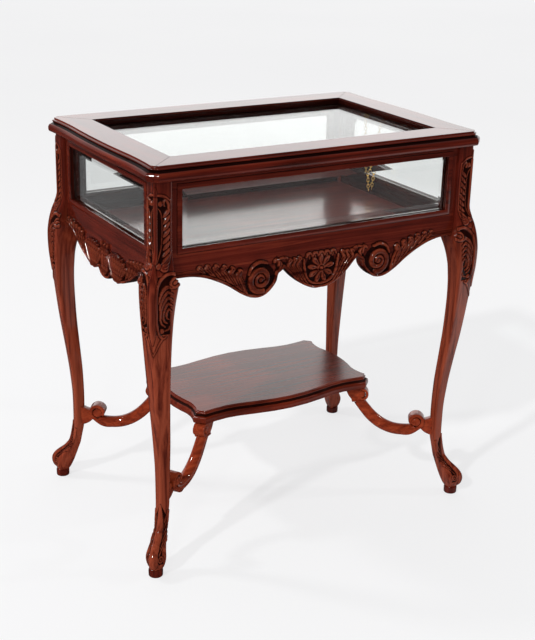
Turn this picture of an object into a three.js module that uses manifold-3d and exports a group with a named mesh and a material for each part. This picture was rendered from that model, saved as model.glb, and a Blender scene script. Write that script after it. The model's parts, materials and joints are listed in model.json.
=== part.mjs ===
// Glazed display table: a glass case on cabriole legs with a hinged glass lid,
// and a serpentine shelf below carried by four curved stretchers.
// Millimetres, +Z up. The origin is on the ground under the middle of the table,
// +X runs along the front to the right and the front faces -Y.
import * as THREE from 'three';
import { mergeVertices } from 'three/addons/utils/BufferGeometryUtils.js';
import Module from 'manifold-3d';

const wasm = await Module();
wasm.setup();

// Overall sizes
const caseWidth = 675;
const caseDepth = 440;
const caseHeight = 742.5;
const lidThickness = 27;
const lidGap = 0.5;

// Clearances and allowances
const fit = 0.2;
const overrun = 5;

// Legs
const postWidth = 33;
const kneeReach = 24;
const cornerRound = 4;
const padRadius = 13.5;
const padHeight = 13;
const padOffset = 9.2;
const padStep = 1;

// Rails, aprons and stiles
const railRecess = 6;
const railThickness = 22;
const topRailHeight = 18;
const stileWidth = 20.5;
const tenonLength = 11;
const tenonThickness = 8;
const tenonShoulder = 4;
const apronTenonHeight = 34;
const glassHeight = 105.5;
const apronEndDepth = 51;
const apronDrop = 61;
const sideApronDrop = 59;

// Glass and its beads
const rebateDepth = 7;
const lipThickness = 8;
const paneThickness = 5;
const paneEdgeThickness = 2.5;
const paneBevel = 15;

// Case floor
const floorDrop = 39;
const floorThickness = 12;
const ledgerSize = 12;
const ledgerEndInset = 152.5;

// Lid
const lidSideOverhang = 4;
const lidFrontOverhang = 2.5;
const lidShortRailWidth = 60.75;
const lidLongRailWidth = 57.75;
const lidCant = 10;
const lidWave = 2.8;
const lidBeadInset = 2;
const lidBeadDepth = 2.5;
const lidRebateWidth = 8;
const lidGlassDrop = 12;
const lidMouldingReach = 11;
const lidMitreReach = 90;

// Hinges
const hingeLength = 46;
const hingeInset = 137.5;
const leafThickness = 1.5;
const leafWidth = 20;
const knuckleRadius = 3.6;
const knuckleCount = 5;
const knuckleGap = 0.3;
const pinRadius = 1.5;
const pinClearance = 0.1;
const hingeStandOff = 0.8;
const hingeGap = 0.6;
const notchClearance = 1;
const openAngle = 110;

// Chain stay
const caseEyeInset = 180;
const caseEyeDrop = 5.5;
const lidEyeInset = 165;
const lidEyeRise = 4.8;
const eyePlateSize = 8;
const eyePlateThickness = 1.2;
const eyeRingRadius = 3;
const eyeWireRadius = 0.8;
const eyeStem = 1.2;
const chainWireRadius = 0.8;
const chainLinkWidth = 3.8;
const chainLinkCount = 11;
const chainEndSpread = 6.5;
const chainWireBite = 0.6;

// Shelf, stretchers and brackets
const shelfSideInset = 142.5;
const shelfFrontInset = 106;
const shelfTop = 252;
const shelfThickness = 25;
const shelfCant = 12;
const shelfLongWave = 12;
const shelfShortWave = 7;
const shelfMouldingReach = 8;
const stretcherThickness = 25;
const stretcherWidth = 24;
const stretcherLow = 134;
const stretcherScrollHeight = 157;
const stretcherScrollRadius = 16;
const stretcherScrollWidth = 25;
const stretcherScrollOffset = 28;
const stretcherBlockLow = 126;
const stretcherBlockHigh = 168;
const stretcherBlockWidth = 18;
const stretcherBlockBack = 6;
const stretcherLegGap = 0.3;
const legInnerAtStretcher = 45;
const bracketTopLength = 36;
const bracketTopHeight = 11;
const bracketNeckLength = 27;
const bracketScrollRadius = 12;
const bracketScrollDrop = 15.5;
const bracketWidth = 26;
const bracketScrollWidth = 28;
const bracketHeight = 30;
const bracketInset = 8.4;

// Sizes that follow from those above
const halfWidth = caseWidth / 2;
const halfDepth = caseDepth / 2;
const railHalfWidth = halfWidth - postWidth;
const railHalfDepth = halfDepth - postWidth;
const postDiagonal = postWidth * Math.SQRT2;
const lidHalfWidth = halfWidth + lidSideOverhang;
const lidHalfDepth = halfDepth + lidFrontOverhang;
const shelfHalfWidth = halfWidth - shelfSideInset;
const shelfHalfDepth = halfDepth - shelfFrontInset;
const topRailBottom = caseHeight - topRailHeight;
const apronTop = topRailBottom - glassHeight;
const apronEndBottom = apronTop - apronEndDepth;
const floorTop = apronTop - floorDrop;
const lidBottom = caseHeight + lidGap;
const lidTop = lidBottom + lidThickness;
const paneFront = lipThickness + fit;
const beadFront = paneFront + paneThickness + fit;
const roundSegments = 20;
const knuckleSegments = 12;
const ringSegments = 10;
const wireSegments = 6;
const linkArcSegments = 3;
const linkSides = 4;
const chainSearchRounds = 60;

const mahogany = { color: 0x5a2015, roughness: 0.32, metalness: 0 };
const darkMahogany = { color: 0x43170f, roughness: 0.38, metalness: 0 };
const clearGlass = { color: 0xdfe8e6, roughness: 0.05, metalness: 0, transparent: true, opacity: 0.3 };
const brass = { color: 0xb08d45, roughness: 0.35, metalness: 1 };

const table = new THREE.Group();

// Solids: conversion between three.js geometry and closed solids that can be joined or cut
function solidOf(geometry) {
  const bare = geometry.index ? geometry.clone() : mergeVertices(geometry.clone());
  bare.deleteAttribute('normal');
  bare.deleteAttribute('uv');
  const merged = mergeVertices(bare);
  return new wasm.Manifold(new wasm.Mesh({
    numProp: 3,
    vertProperties: new Float32Array(merged.attributes.position.array),
    triVerts: new Uint32Array(merged.index.array),
  }));
}

function geometryOf(solid) {
  const mesh = solid.getMesh();
  const geometry = new THREE.BufferGeometry();
  geometry.setAttribute('position', new THREE.BufferAttribute(new Float32Array(mesh.vertProperties), 3));
  geometry.setIndex(new THREE.BufferAttribute(new Uint32Array(mesh.triVerts), 1));
  geometry.computeVertexNormals();
  return geometry;
}

function joined(first, ...others) {
  return geometryOf(others.reduce((sum, next) => sum.add(solidOf(next)), solidOf(first)));
}

function cut(first, ...others) {
  return geometryOf(others.reduce((rest, next) => rest.subtract(solidOf(next)), solidOf(first)));
}

function overlapOf(first, second) {
  return geometryOf(solidOf(first).intersect(solidOf(second)));
}

function addPiece(name, geometry, look) {
  const mesh = new THREE.Mesh(geometry, new THREE.MeshStandardMaterial(look));
  mesh.name = name;
  table.add(mesh);
}

// A box between two corners
function boxBetween(low, high) {
  const size = high.map((value, axis) => value - low[axis]);
  const geometry = new THREE.BoxGeometry(...size);
  geometry.translate(...low.map((value, axis) => value + size[axis] / 2));
  return geometry;
}

// A round bar along X
function barAlongX(fromX, toX, y, z, radius, segments = knuckleSegments) {
  const geometry = new THREE.CylinderGeometry(radius, radius, toX - fromX, segments);
  geometry.rotateZ(-Math.PI / 2);
  geometry.translate((fromX + toX) / 2, y, z);
  return geometry;
}

// A closed skin through rings of points that all hold the same number of points.
// Each ring runs anticlockwise as seen from the last ring.
function skinThrough(rings) {
  const count = rings[0].length;
  const positions = [];
  const faces = [];
  for (const ring of rings) {
    for (const point of ring) positions.push(...point);
  }
  for (let row = 0; row < rings.length - 1; row++) {
    for (let step = 0; step < count; step++) {
      const next = (step + 1) % count;
      const a = row * count + step;
      const b = row * count + next;
      faces.push(a, b, b + count, a, b + count, a + count);
    }
  }
  const lastStart = (rings.length - 1) * count;
  for (const [start, turned] of [[0, true], [lastStart, false]]) {
    const flat = flatRing(rings[start / count]);
    for (const [a, b, c] of THREE.ShapeUtils.triangulateShape(flat, [])) {
      const corners = [start + a, start + b, start + c];
      faces.push(...(turned ? corners.reverse() : corners));
    }
  }
  const geometry = new THREE.BufferGeometry();
  geometry.setAttribute('position', new THREE.BufferAttribute(new Float32Array(positions), 3));
  geometry.setIndex(faces);
  return outwards(geometry);
}

// A ring of points laid out flat, in its own plane
function flatRing(ring) {
  const points = ring.map((point) => new THREE.Vector3(...point));
  const normal = new THREE.Vector3();
  points.forEach((point, index) => {
    normal.add(new THREE.Vector3().crossVectors(point, points[(index + 1) % points.length]));
  });
  normal.normalize();
  const right = new THREE.Vector3().subVectors(points[1], points[0]).normalize();
  const up = new THREE.Vector3().crossVectors(normal, right);
  return points.map((point) => new THREE.Vector2(point.dot(right), point.dot(up)));
}

function signedVolume(geometry) {
  const position = geometry.attributes.position;
  const index = geometry.index.array;
  const corner = (which) => new THREE.Vector3().fromBufferAttribute(position, which);
  let sum = 0;
  for (let face = 0; face < index.length; face += 3) {
    sum += corner(index[face]).dot(corner(index[face + 1]).cross(corner(index[face + 2])));
  }
  return sum / 6;
}

function flipFaces(geometry) {
  const index = geometry.index.array;
  for (let face = 0; face < index.length; face += 3) {
    [index[face + 1], index[face + 2]] = [index[face + 2], index[face + 1]];
  }
  return geometry;
}

function outwards(geometry) {
  return signedVolume(geometry) < 0 ? flipFaces(geometry) : geometry;
}

// A copy mirrored in X, in Y, or in both
function mirrored(geometry, signX, signY) {
  const copy = geometry.index ? geometry.clone() : mergeVertices(geometry.clone());
  copy.scale(signX, signY, 1);
  if (signX * signY < 0) flipFaces(copy);
  copy.computeVertexNormals();
  return copy;
}

// Legs. Each section is a kite with its corners on the leg's diagonal, given by how far its
// outer and inner corners lie from the post's outer corner. Each row holds a height as a share
// of its span, the outer corner as a share of the knee's reach, the inner corner as a share of
// the post's diagonal, and the width as a share of a square section's width.
const postRowShares = [
  [1, 0, -1, 1],
  [0.285, 0, -1, 1],
  [0.196, 0.25, -1, 1],
  [0.128, 0.5, -1, 1],
  [0, 0.81, -1, 1],
];
const legRowShares = [
  [0.998, 0.82, -1.24, 1],
  [0.974, 0.93, -1.12, 1.02],
  [0.948, 0.99, -0.97, 1.05],
  [0.915, 0.98, -0.84, 1.09],
  [0.88, 0.93, -0.745, 1.13],
  [0.824, 0.76, -0.68, 1.18],
  [0.771, 0.62, -0.66, 1.2],
  [0.706, 0.44, -0.68, 1.19],
  [0.634, 0.21, -0.72, 1.18],
  [0.528, -0.22, -0.83, 1.18],
  [0.44, -0.54, -0.93, 1.17],
  [0.353, -0.75, -0.965, 1.15],
  [0.281, -0.79, -0.965, 1.13],
  [0.222, -0.75, -0.93, 1.1],
  [0.176, -0.56, -0.81, 1.05],
  [0.144, -0.33, -0.73, 0.98],
  [0.118, 0.2, -0.62, 0.86],
  [0.1, 0.82, -0.55, 0.74],
  [0.084, 1.18, -0.48, 0.74],
  [0.067, 1.4, -0.4, 0.82],
  [0.05, 1.35, -0.3, 0.86],
  [0.035, 1.13, -0.2, 0.92],
];
const arcStepShares = [0, 0.5, 1];
const longestRoundingShare = 0.476;

function kiteRing(outer, inner, widthShare, rounding, height) {
  const middle = (outer + inner) / 2;
  const side = ((outer - inner) / 2) * widthShare;
  const corners = [[outer, 0], [middle, side], [inner, 0], [middle, -side]];
  const edge = Math.hypot(outer - middle, side);
  const reach = Math.min(rounding, edge * longestRoundingShare);
  const ring = [];
  corners.forEach((corner, index) => {
    const before = corners[(index + 3) % 4];
    const after = corners[(index + 1) % 4];
    const start = corner.map((value, axis) => value + ((before[axis] - value) * reach) / edge);
    const end = corner.map((value, axis) => value + ((after[axis] - value) * reach) / edge);
    const arc = new THREE.QuadraticBezierCurve(
      new THREE.Vector2(...start), new THREE.Vector2(...corner), new THREE.Vector2(...end));
    for (const share of arcStepShares) {
      const point = arc.getPoint(share);
      const x = halfWidth + (point.x - point.y) / Math.SQRT2;
      const y = halfDepth + (point.x + point.y) / Math.SQRT2;
      ring.push([x, y, height]);
    }
  });
  return ring;
}

// Heights between which the tenons of the aprons and of the top rails lie
const tenonSpans = {
  apron: [apronTop - rebateDepth - apronTenonHeight, apronTop - rebateDepth - tenonShoulder],
  topRail: [topRailBottom + rebateDepth, caseHeight - tenonShoulder],
};

function mortiseBoxes() {
  const middleY = halfDepth - railRecess - railThickness / 2;
  const middleX = halfWidth - railRecess - railThickness / 2;
  const half = tenonThickness / 2 + fit;
  const end = tenonLength + fit;
  return Object.values(tenonSpans).flatMap(([low, high]) => [
    boxBetween([railHalfWidth - overrun, middleY - half, low - fit],
      [railHalfWidth + end, middleY + half, high + fit]),
    boxBetween([middleX - half, railHalfDepth - overrun, low - fit],
      [middleX + half, railHalfDepth + end, high + fit]),
  ]);
}

function legBody() {
  const rowRing = (low, high) => ([heightShare, outerShare, innerShare, widthShare]) => kiteRing(
    outerShare * kneeReach, innerShare * postDiagonal, widthShare, cornerRound, low + heightShare * (high - low));
  const rings = [
    ...postRowShares.map(rowRing(apronEndBottom, caseHeight)),
    ...legRowShares.map(rowRing(0, apronEndBottom)),
  ];
  const round = 2 * padRadius;
  rings.push(kiteRing(padOffset + padRadius, padOffset - padRadius, 1, round, padHeight));
  rings.push(kiteRing(padOffset + padRadius + padStep, padOffset - padRadius - padStep, 1, round, padHeight / 2));
  rings.push(kiteRing(padOffset + padRadius, padOffset - padRadius, 1, round, 0));
  return cut(skinThrough(rings), ...mortiseBoxes());
}

const corners = [
  ['front_left', -1, -1],
  ['front_right', 1, -1],
  ['back_left', -1, 1],
  ['back_right', 1, 1],
];
const leg = legBody();
for (const [place, signX, signY] of corners) {
  addPiece(`leg_${place}`, mirrored(leg, signX, signY), mahogany);
}

// Rails and aprons. Each is drawn as seen from outside, in its length and height,
// given its thickness and turned to its side of the case.
function placedOnSide(side, geometry) {
  const turn = { back: 0, left: Math.PI / 2, front: Math.PI, right: -Math.PI / 2 }[side];
  geometry.rotateZ(turn);
  return geometry;
}

// The ends of a side are named in the order they have before the side is turned
const sides = [
  { name: 'front', half: railHalfWidth, face: halfDepth - railRecess, ends: ['right', 'left'] },
  { name: 'back', half: railHalfWidth, face: halfDepth - railRecess, ends: ['left', 'right'] },
  { name: 'left', half: railHalfDepth, face: halfWidth - railRecess, ends: ['front', 'back'] },
  { name: 'right', half: railHalfDepth, face: halfWidth - railRecess, ends: ['back', 'front'] },
];
const alongFront = (side) => side.name === 'front' || side.name === 'back';

// Lower edge of an apron from its middle to its end: lengths as shares of the half length,
// drops as shares of the apron's drop. Each run is one smooth curve, and runs meet in a point.
const longApronRunShares = [
  [[0, 1], [0.04, 1], [0.08, 0.93], [0.135, 0.785], [0.187, 0.575], [0.227, 0.36], [0.261, 0.19]],
  [[0.261, 0.19], [0.289, 0.295], [0.308, 0.36], [0.316, 0.54], [0.335, 0.7], [0.374, 0.885],
    [0.42, 0.985], [0.48, 0.96], [0.555, 0.77], [0.62, 0.54], [0.693, 0.33], [0.772, 0.155],
    [0.837, 0.06], [0.905, 0.01], [1, 0]],
];
const shortApronRunShares = [
  [[0, 1], [0.07, 0.96], [0.12, 0.82], [0.145, 0.74]],
  [[0.145, 0.74], [0.2, 0.82], [0.278, 0.865], [0.353, 0.84], [0.455, 0.73], [0.6, 0.51],
    [0.75, 0.2], [0.86, 0.06], [1, 0]],
];
const curveSteps = 3;

function apronCurvePoints(half, drop, runShares) {
  const points = [];
  for (const run of runShares) {
    const controls = run.map(([along, down]) => new THREE.Vector2(along * half, apronEndBottom - down * drop));
    const curve = new THREE.SplineCurve(controls);
    const steps = (run.length - 1) * curveSteps;
    points.push(...curve.getPoints(steps).slice(points.length ? 1 : 0));
  }
  return points;
}

function apronGeometry(side) {
  const half = side.half - fit;
  const [drop, shares] = alongFront(side)
    ? [apronDrop, longApronRunShares]
    : [sideApronDrop, shortApronRunShares];
  const rightEdge = apronCurvePoints(half, drop, shares);
  const leftEdge = rightEdge.slice(1).reverse().map((point) => new THREE.Vector2(-point.x, point.y));
  const outline = [...leftEdge, ...rightEdge,
    new THREE.Vector2(half, apronTop), new THREE.Vector2(-half, apronTop)];
  const board = new THREE.ExtrudeGeometry(new THREE.Shape(outline), { depth: railThickness, bevelEnabled: false });
  board.rotateX(Math.PI / 2);
  board.translate(0, side.face, 0);
  const inner = side.face - railThickness;
  const rebate = boxBetween(
    [-half - overrun, inner - overrun, apronTop - rebateDepth],
    [half + overrun, side.face - lipThickness, apronTop + overrun]);
  return cut(board, rebate);
}

function topRailGeometry(side) {
  const half = side.half - fit;
  const face = side.name === 'back' ? halfDepth : side.face;
  const inner = side.face - railThickness;
  const rail = boxBetween([-half, inner, topRailBottom], [half, face, caseHeight]);
  const rebate = boxBetween(
    [-half - overrun, inner - overrun, topRailBottom - overrun],
    [half + overrun, side.face - lipThickness, topRailBottom + rebateDepth]);
  return cut(rail, rebate);
}

// Two tenons at the ends of a rail, as seen before the rail is turned to its side
function endTenons(side, level) {
  const middle = side.face - railThickness / 2;
  const [low, high] = tenonSpans[level];
  const halfTenon = tenonThickness / 2;
  return [-1, 1].map((sign) => {
    const ends = [sign * (side.half - overrun), sign * (side.half + tenonLength)].sort((a, b) => a - b);
    return boxBetween([ends[0], middle - halfTenon, low], [ends[1], middle + halfTenon, high]);
  });
}

// Stiles: upright strips between a post and the glass, rebated behind like the rails
function stileGeometry(side, sign) {
  const inner = side.face - railThickness;
  const near = side.half - fit;
  const far = side.half - stileWidth;
  const bottom = apronTop + fit;
  const top = topRailBottom - fit;
  const lip = boxBetween([far, side.face - lipThickness, bottom], [near, side.face, top]);
  const back = boxBetween([far + rebateDepth, inner, bottom], [near, side.face - lipThickness, top]);
  const lower = boxBetween([far + rebateDepth, inner, apronTop - rebateDepth + fit],
    [near, side.face - lipThickness - fit, bottom + fit]);
  const upper = boxBetween([far + rebateDepth, inner, top - fit],
    [near, side.face - lipThickness - fit, topRailBottom + rebateDepth - fit]);
  return mirrored(joined(lip, back, lower, upper), sign, 1);
}

// Bevelled pane: flat at the back, with its borders ground down towards the edge in front
function paneRings(halfLength, halfHeight, rise) {
  const ring = (inset, depth) => [[-1, -1], [1, -1], [1, 1], [-1, 1]].map(([signA, signB]) => [
    signA * (halfLength - inset), depth, rise + signB * (halfHeight - inset)]);
  return [ring(0, 0), ring(0, paneEdgeThickness), ring(paneBevel, paneThickness)];
}

function glassSize(side) {
  const halfLength = side.half - stileWidth + rebateDepth - fit;
  const low = apronTop - rebateDepth + fit;
  const high = topRailBottom + rebateDepth - fit;
  return { halfLength, low, high, middle: (low + high) / 2 };
}

function paneGeometry(side) {
  const { halfLength, low, high, middle } = glassSize(side);
  const geometry = skinThrough(paneRings(halfLength, (high - low) / 2, middle));
  geometry.translate(0, side.face - paneFront - paneThickness, 0);
  return geometry;
}

// A mitred frame of square strip, drawn flat and given its thickness
function stripFrame(halfLength, halfHeight, width, thickness) {
  const rectangle = (a, b) => [[-a, -b], [a, -b], [a, b], [-a, b]].map((point) => new THREE.Vector2(...point));
  const shape = new THREE.Shape(rectangle(halfLength, halfHeight));
  shape.holes.push(new THREE.Path(rectangle(halfLength - width, halfHeight - width)));
  return new THREE.ExtrudeGeometry(shape, { depth: thickness, bevelEnabled: false });
}

function beadGeometry(side) {
  const { halfLength, low, high, middle } = glassSize(side);
  const thickness = railThickness - beadFront;
  const geometry = stripFrame(halfLength, (high - low) / 2, rebateDepth, thickness);
  geometry.rotateX(Math.PI / 2);
  geometry.translate(0, side.face - beadFront, middle);
  return geometry;
}

// Hinge places, shared by the leaves, the pins and the pockets cut for them
const hingeAxisY = halfDepth + knuckleRadius + hingeStandOff;
const hingeAxisZ = caseHeight + lidGap / 2;
const hingeCentres = [['left', hingeInset - halfWidth], ['right', halfWidth - hingeInset]];
const leafFront = halfDepth - leafWidth;
const caseLeafTop = caseHeight;
const lidLeafBottom = lidBottom + fit / 2;

function leafPocket(centre, low, high) {
  const half = hingeLength / 2 + fit;
  return boxBetween([centre - half, leafFront - fit, low], [centre + half, halfDepth + overrun, high]);
}

for (const side of sides) {
  let apron = joined(apronGeometry(side), ...endTenons(side, 'apron'));
  let topRail = joined(topRailGeometry(side), ...endTenons(side, 'topRail'));
  if (side.name === 'back') {
    const pockets = hingeCentres.map(([, centre]) => leafPocket(
      centre, caseLeafTop - leafThickness - fit, caseHeight + overrun));
    topRail = cut(topRail, ...pockets);
  }
  addPiece(`apron_${side.name}`, placedOnSide(side.name, apron), mahogany);
  addPiece(`top_rail_${side.name}`, placedOnSide(side.name, topRail), mahogany);
  addPiece(`pane_${side.name}`, placedOnSide(side.name, paneGeometry(side)), clearGlass);
  addPiece(`bead_${side.name}`, placedOnSide(side.name, beadGeometry(side)), darkMahogany);
  side.ends.forEach((end, index) => {
    const stile = stileGeometry(side, index ? 1 : -1);
    addPiece(`stile_${side.name}_${end}`, placedOnSide(side.name, stile), mahogany);
  });
}

// Case floor, notched round the posts, on two ledgers behind the front and back aprons
const floorHalfLength = halfWidth - railRecess - railThickness - fit;
const floorHalfDepth = halfDepth - railRecess - railThickness - fit;

function floorGeometry() {
  const notchX = railHalfWidth - fit;
  const notchY = railHalfDepth - fit;
  const quarter = [[floorHalfLength, notchY], [notchX, notchY], [notchX, floorHalfDepth]];
  const outline = [];
  for (const [signX, signY] of [[1, 1], [-1, 1], [-1, -1], [1, -1]]) {
    const points = quarter.map(([x, y]) => new THREE.Vector2(signX * x, signY * y));
    outline.push(...(signX * signY > 0 ? points : points.reverse()));
  }
  const board = new THREE.ExtrudeGeometry(new THREE.Shape(outline), { depth: floorThickness, bevelEnabled: false });
  board.translate(0, 0, floorTop - floorThickness);
  return board;
}

addPiece('case_floor', floorGeometry(), mahogany);
for (const [place, sign] of [['front', -1], ['back', 1]]) {
  const high = floorTop - floorThickness - fit;
  const ledger = boxBetween([ledgerEndInset - halfWidth, floorHalfDepth - ledgerSize, high - ledgerSize],
    [halfWidth - ledgerEndInset, floorHalfDepth, high]);
  addPiece(`floor_ledger_${place}`, mirrored(ledger, 1, sign), darkMahogany);
}

// Moulded boards. The outline of a quarter runs from the middle of the right side, round the
// canted corner, to the middle of the back. Waves are shares of the wave's size by place along the side.
const shortWaveShares = [[0, 0.45], [0.3, 0.2], [0.6, -0.8], [0.82, -0.75], [1, 0]];
const longWaveShares = [[0, 1], [0.25, 0.72], [0.5, 0.02], [0.68, -0.42], [0.85, -0.3], [1, 0]];
const waveSteps = 6;

function wavePoints(shares, length, size) {
  const controls = shares.map(([along, out]) => new THREE.Vector2(along * length, out * size));
  return new THREE.SplineCurve(controls).getPoints(waveSteps);
}

function mouldedOutline(halfLength, halfBreadth, cant, longWave, shortWave) {
  const right = wavePoints(shortWaveShares, halfBreadth - cant, shortWave)
    .map((point) => [halfLength + point.y, point.x]);
  const back = (longWave ? wavePoints(longWaveShares, halfLength - cant, longWave)
    : [new THREE.Vector2(0, 0), new THREE.Vector2(halfLength - cant, 0)])
    .map((point) => [point.x, halfBreadth + point.y]).reverse();
  const quarter = [...right, ...back];
  const outline = [];
  for (const [signX, signY] of [[1, 1], [-1, 1], [-1, -1], [1, -1]]) {
    const points = quarter.map(([x, y]) => [signX * x, signY * y]);
    const ordered = signX * signY > 0 ? points : points.reverse();
    outline.push(...ordered.slice(0, -1));
  }
  return outline;
}

function offsetOutline(outline, distance) {
  const count = outline.length;
  return outline.map((point, index) => {
    const normals = [[outline[(index + count - 1) % count], point], [point, outline[(index + 1) % count]]]
      .map(([from, to]) => new THREE.Vector2(to[1] - from[1], from[0] - to[0]).normalize());
    const sum = normals[0].clone().add(normals[1]);
    const scale = distance / (1 + normals[0].dot(normals[1]));
    return [point[0] + sum.x * scale, point[1] + sum.y * scale];
  });
}

// Edge moulding from below upwards: how far it reaches out, as shares of the moulding's reach,
// and its height, as shares of the board's thickness. A bullnose below, a groove and a small bead.
const mouldingShares = [
  [0.5, 0], [0.86, 0.05], [1, 0.17], [1, 0.36], [0.88, 0.5], [0.62, 0.58],
  [0.36, 0.62], [0.16, 0.69], [0.32, 0.75], [0.3, 0.83], [0, 0.88], [0, 1],
];

function mouldedBoard(outline, reach, bottom, thickness) {
  return skinThrough(mouldingShares.map(([reachShare, heightShare]) => offsetOutline(outline, reachShare * reach)
    .map(([x, y]) => [x, y, bottom + heightShare * thickness])));
}

// Lid: a moulded board with its opening and its rebate cut out, divided into four at the mitres
const openingHalfWidth = lidHalfWidth - lidShortRailWidth;
const openingHalfDepth = lidHalfDepth - lidLongRailWidth;
const lidLip = lidTop - lidGlassDrop;

function openingBox(growth, low, high) {
  return boxBetween([-openingHalfWidth - growth, -openingHalfDepth - growth, low],
    [openingHalfWidth + growth, openingHalfDepth + growth, high]);
}

function lidFrame() {
  const outline = mouldedOutline(lidHalfWidth, lidHalfDepth, lidCant, 0, lidWave);
  const board = mouldedBoard(outline, lidMouldingReach, lidBottom, lidThickness);
  const pockets = hingeCentres.map(([, centre]) => leafPocket(
    centre, lidBottom - overrun, lidLeafBottom + leafThickness + fit));
  const notches = hingeCentres.map(([, centre]) => {
    const half = hingeLength / 2 + notchClearance;
    const reach = knuckleRadius + notchClearance;
    return boxBetween([centre - half, halfDepth, lidBottom - overrun],
      [centre + half, hingeAxisY + reach, hingeAxisZ + reach]);
  });
  return cut(board,
    openingBox(0, lidBottom - overrun, lidTop + overrun),
    openingBox(lidBeadInset, lidTop - lidBeadDepth, lidTop + overrun),
    openingBox(lidRebateWidth, lidBottom - overrun, lidLip),
    ...pockets, ...notches);
}

function mitreWedge(side) {
  const [inLength, inBreadth] = alongFront(side)
    ? [openingHalfWidth, openingHalfDepth]
    : [openingHalfDepth, openingHalfWidth];
  const near = inLength - fit / 2;
  const far = near + lidMitreReach;
  const outline = [[-near, inBreadth], [near, inBreadth], [far, inBreadth + lidMitreReach],
    [-far, inBreadth + lidMitreReach]].map((point) => new THREE.Vector2(...point));
  const wedge = new THREE.ExtrudeGeometry(new THREE.Shape(outline), {
    depth: lidThickness + 2 * overrun, bevelEnabled: false,
  });
  wedge.translate(0, 0, lidBottom - overrun);
  return placedOnSide(side.name, wedge);
}

const frame = lidFrame();
for (const side of sides) {
  addPiece(`lid_rail_${side.name}`, overlapOf(frame, mitreWedge(side)), mahogany);
}

function lidPane() {
  const halfLength = openingHalfWidth + lidRebateWidth - fit;
  const geometry = skinThrough(paneRings(halfLength, openingHalfDepth + lidRebateWidth - fit, 0));
  geometry.rotateX(Math.PI / 2);
  geometry.translate(0, 0, lidLip - fit - paneThickness);
  return geometry;
}

function lidBead() {
  const top = lidLip - paneThickness - 2 * fit;
  const geometry = stripFrame(openingHalfWidth + lidRebateWidth - fit,
    openingHalfDepth + lidRebateWidth - fit, lidRebateWidth, top - lidBottom - fit);
  geometry.translate(0, 0, lidBottom + fit);
  return geometry;
}

addPiece('lid_pane', lidPane(), clearGlass);
addPiece('lid_bead', lidBead(), darkMahogany);

// Butt hinges: a leaf let into the back rail, a leaf let into the lid, and the pin through their knuckles
function knuckleSpans(centre, first) {
  const length = hingeLength / knuckleCount;
  const spans = [];
  for (let knuckle = first; knuckle < knuckleCount; knuckle += 2) {
    const start = centre - hingeLength / 2 + knuckle * length;
    spans.push([start + knuckleGap / 2, start + length - knuckleGap / 2]);
  }
  return spans;
}

function hingeLeaf(centre, low, first) {
  const half = hingeLength / 2;
  const rootY = halfDepth - fit;
  const parts = [boxBetween([centre - half, leafFront, low], [centre + half, rootY, low + leafThickness])];
  for (const [from, to] of knuckleSpans(centre, first)) {
    parts.push(boxBetween([from, rootY - leafThickness, low], [to, hingeAxisY, low + leafThickness]));
    parts.push(barAlongX(from, to, hingeAxisY, hingeAxisZ, knuckleRadius));
  }
  const bore = barAlongX(centre - half - overrun, centre + half + overrun, hingeAxisY, hingeAxisZ,
    pinRadius + pinClearance);
  return cut(joined(...parts), bore);
}

for (const [place, centre] of hingeCentres) {
  const half = hingeLength / 2;
  addPiece(`hinge_case_leaf_${place}`, hingeLeaf(centre, caseLeafTop - leafThickness, 0), brass);
  addPiece(`hinge_lid_leaf_${place}`, hingeLeaf(centre, lidLeafBottom, 1), brass);
  addPiece(`hinge_pin_${place}`, barAlongX(centre - half, centre + half, hingeAxisY, hingeAxisZ, pinRadius), brass);
}

// Chain stay on the right. Each eye is a plate with a ring that stands across the lid's swing.
function chainEye(wallX, y, z) {
  const plateX = wallX - fit - eyePlateThickness;
  const ringX = plateX - eyeStem - eyeRingRadius;
  const half = eyePlateSize / 2;
  const plate = boxBetween([plateX, y - half, z - half], [wallX - fit, y + half, z + half]);
  const stem = barAlongX(ringX + eyeRingRadius - eyeWireRadius / 2, plateX + eyePlateThickness / 2,
    y, z, eyeWireRadius, wireSegments);
  const ring = new THREE.TorusGeometry(eyeRingRadius, eyeWireRadius, wireSegments, ringSegments);
  ring.rotateX(Math.PI / 2);
  ring.translate(ringX, y, z);
  return { geometry: joined(plate, stem, ring), pivot: new THREE.Vector3(ringX, y, z - eyeRingRadius) };
}

const caseEye = chainEye(halfWidth - railRecess - railThickness, halfDepth - caseEyeInset, caseHeight - caseEyeDrop);
const lidEye = chainEye(openingHalfWidth - fit, halfDepth - lidEyeInset, lidBottom + lidEyeRise);
addPiece('chain_eye_case', caseEye.geometry, brass);
addPiece('chain_eye_lid', lidEye.geometry, brass);

// The chain is as long as the way between the eyes when the lid is open, less the play at its middle
function openedLidPoint(point) {
  const turn = THREE.MathUtils.degToRad(openAngle);
  const back = point.y - hingeAxisY;
  const up = point.z - hingeAxisZ;
  return new THREE.Vector2(hingeAxisY + back * Math.cos(turn) + up * Math.sin(turn),
    hingeAxisZ - back * Math.sin(turn) + up * Math.cos(turn));
}

const casePivot = new THREE.Vector2(caseEye.pivot.y, caseEye.pivot.z);
const lidPivot = new THREE.Vector2(lidEye.pivot.y, lidEye.pivot.z);
const chainLength = casePivot.distanceTo(openedLidPoint(lidEye.pivot));

// Lowest point of the closed chain: halfway between the eyes, where both halves use up the length
function chainBottom() {
  const y = (casePivot.x + lidPivot.x) / 2;
  let high = Math.min(casePivot.y, lidPivot.y);
  let low = high - chainLength;
  for (let round = 0; round < chainSearchRounds; round++) {
    const z = (low + high) / 2;
    const bottom = new THREE.Vector2(y, z);
    if (casePivot.distanceTo(bottom) + lidPivot.distanceTo(bottom) > chainLength) low = z;
    else high = z;
  }
  return new THREE.Vector2(y, low);
}

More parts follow.
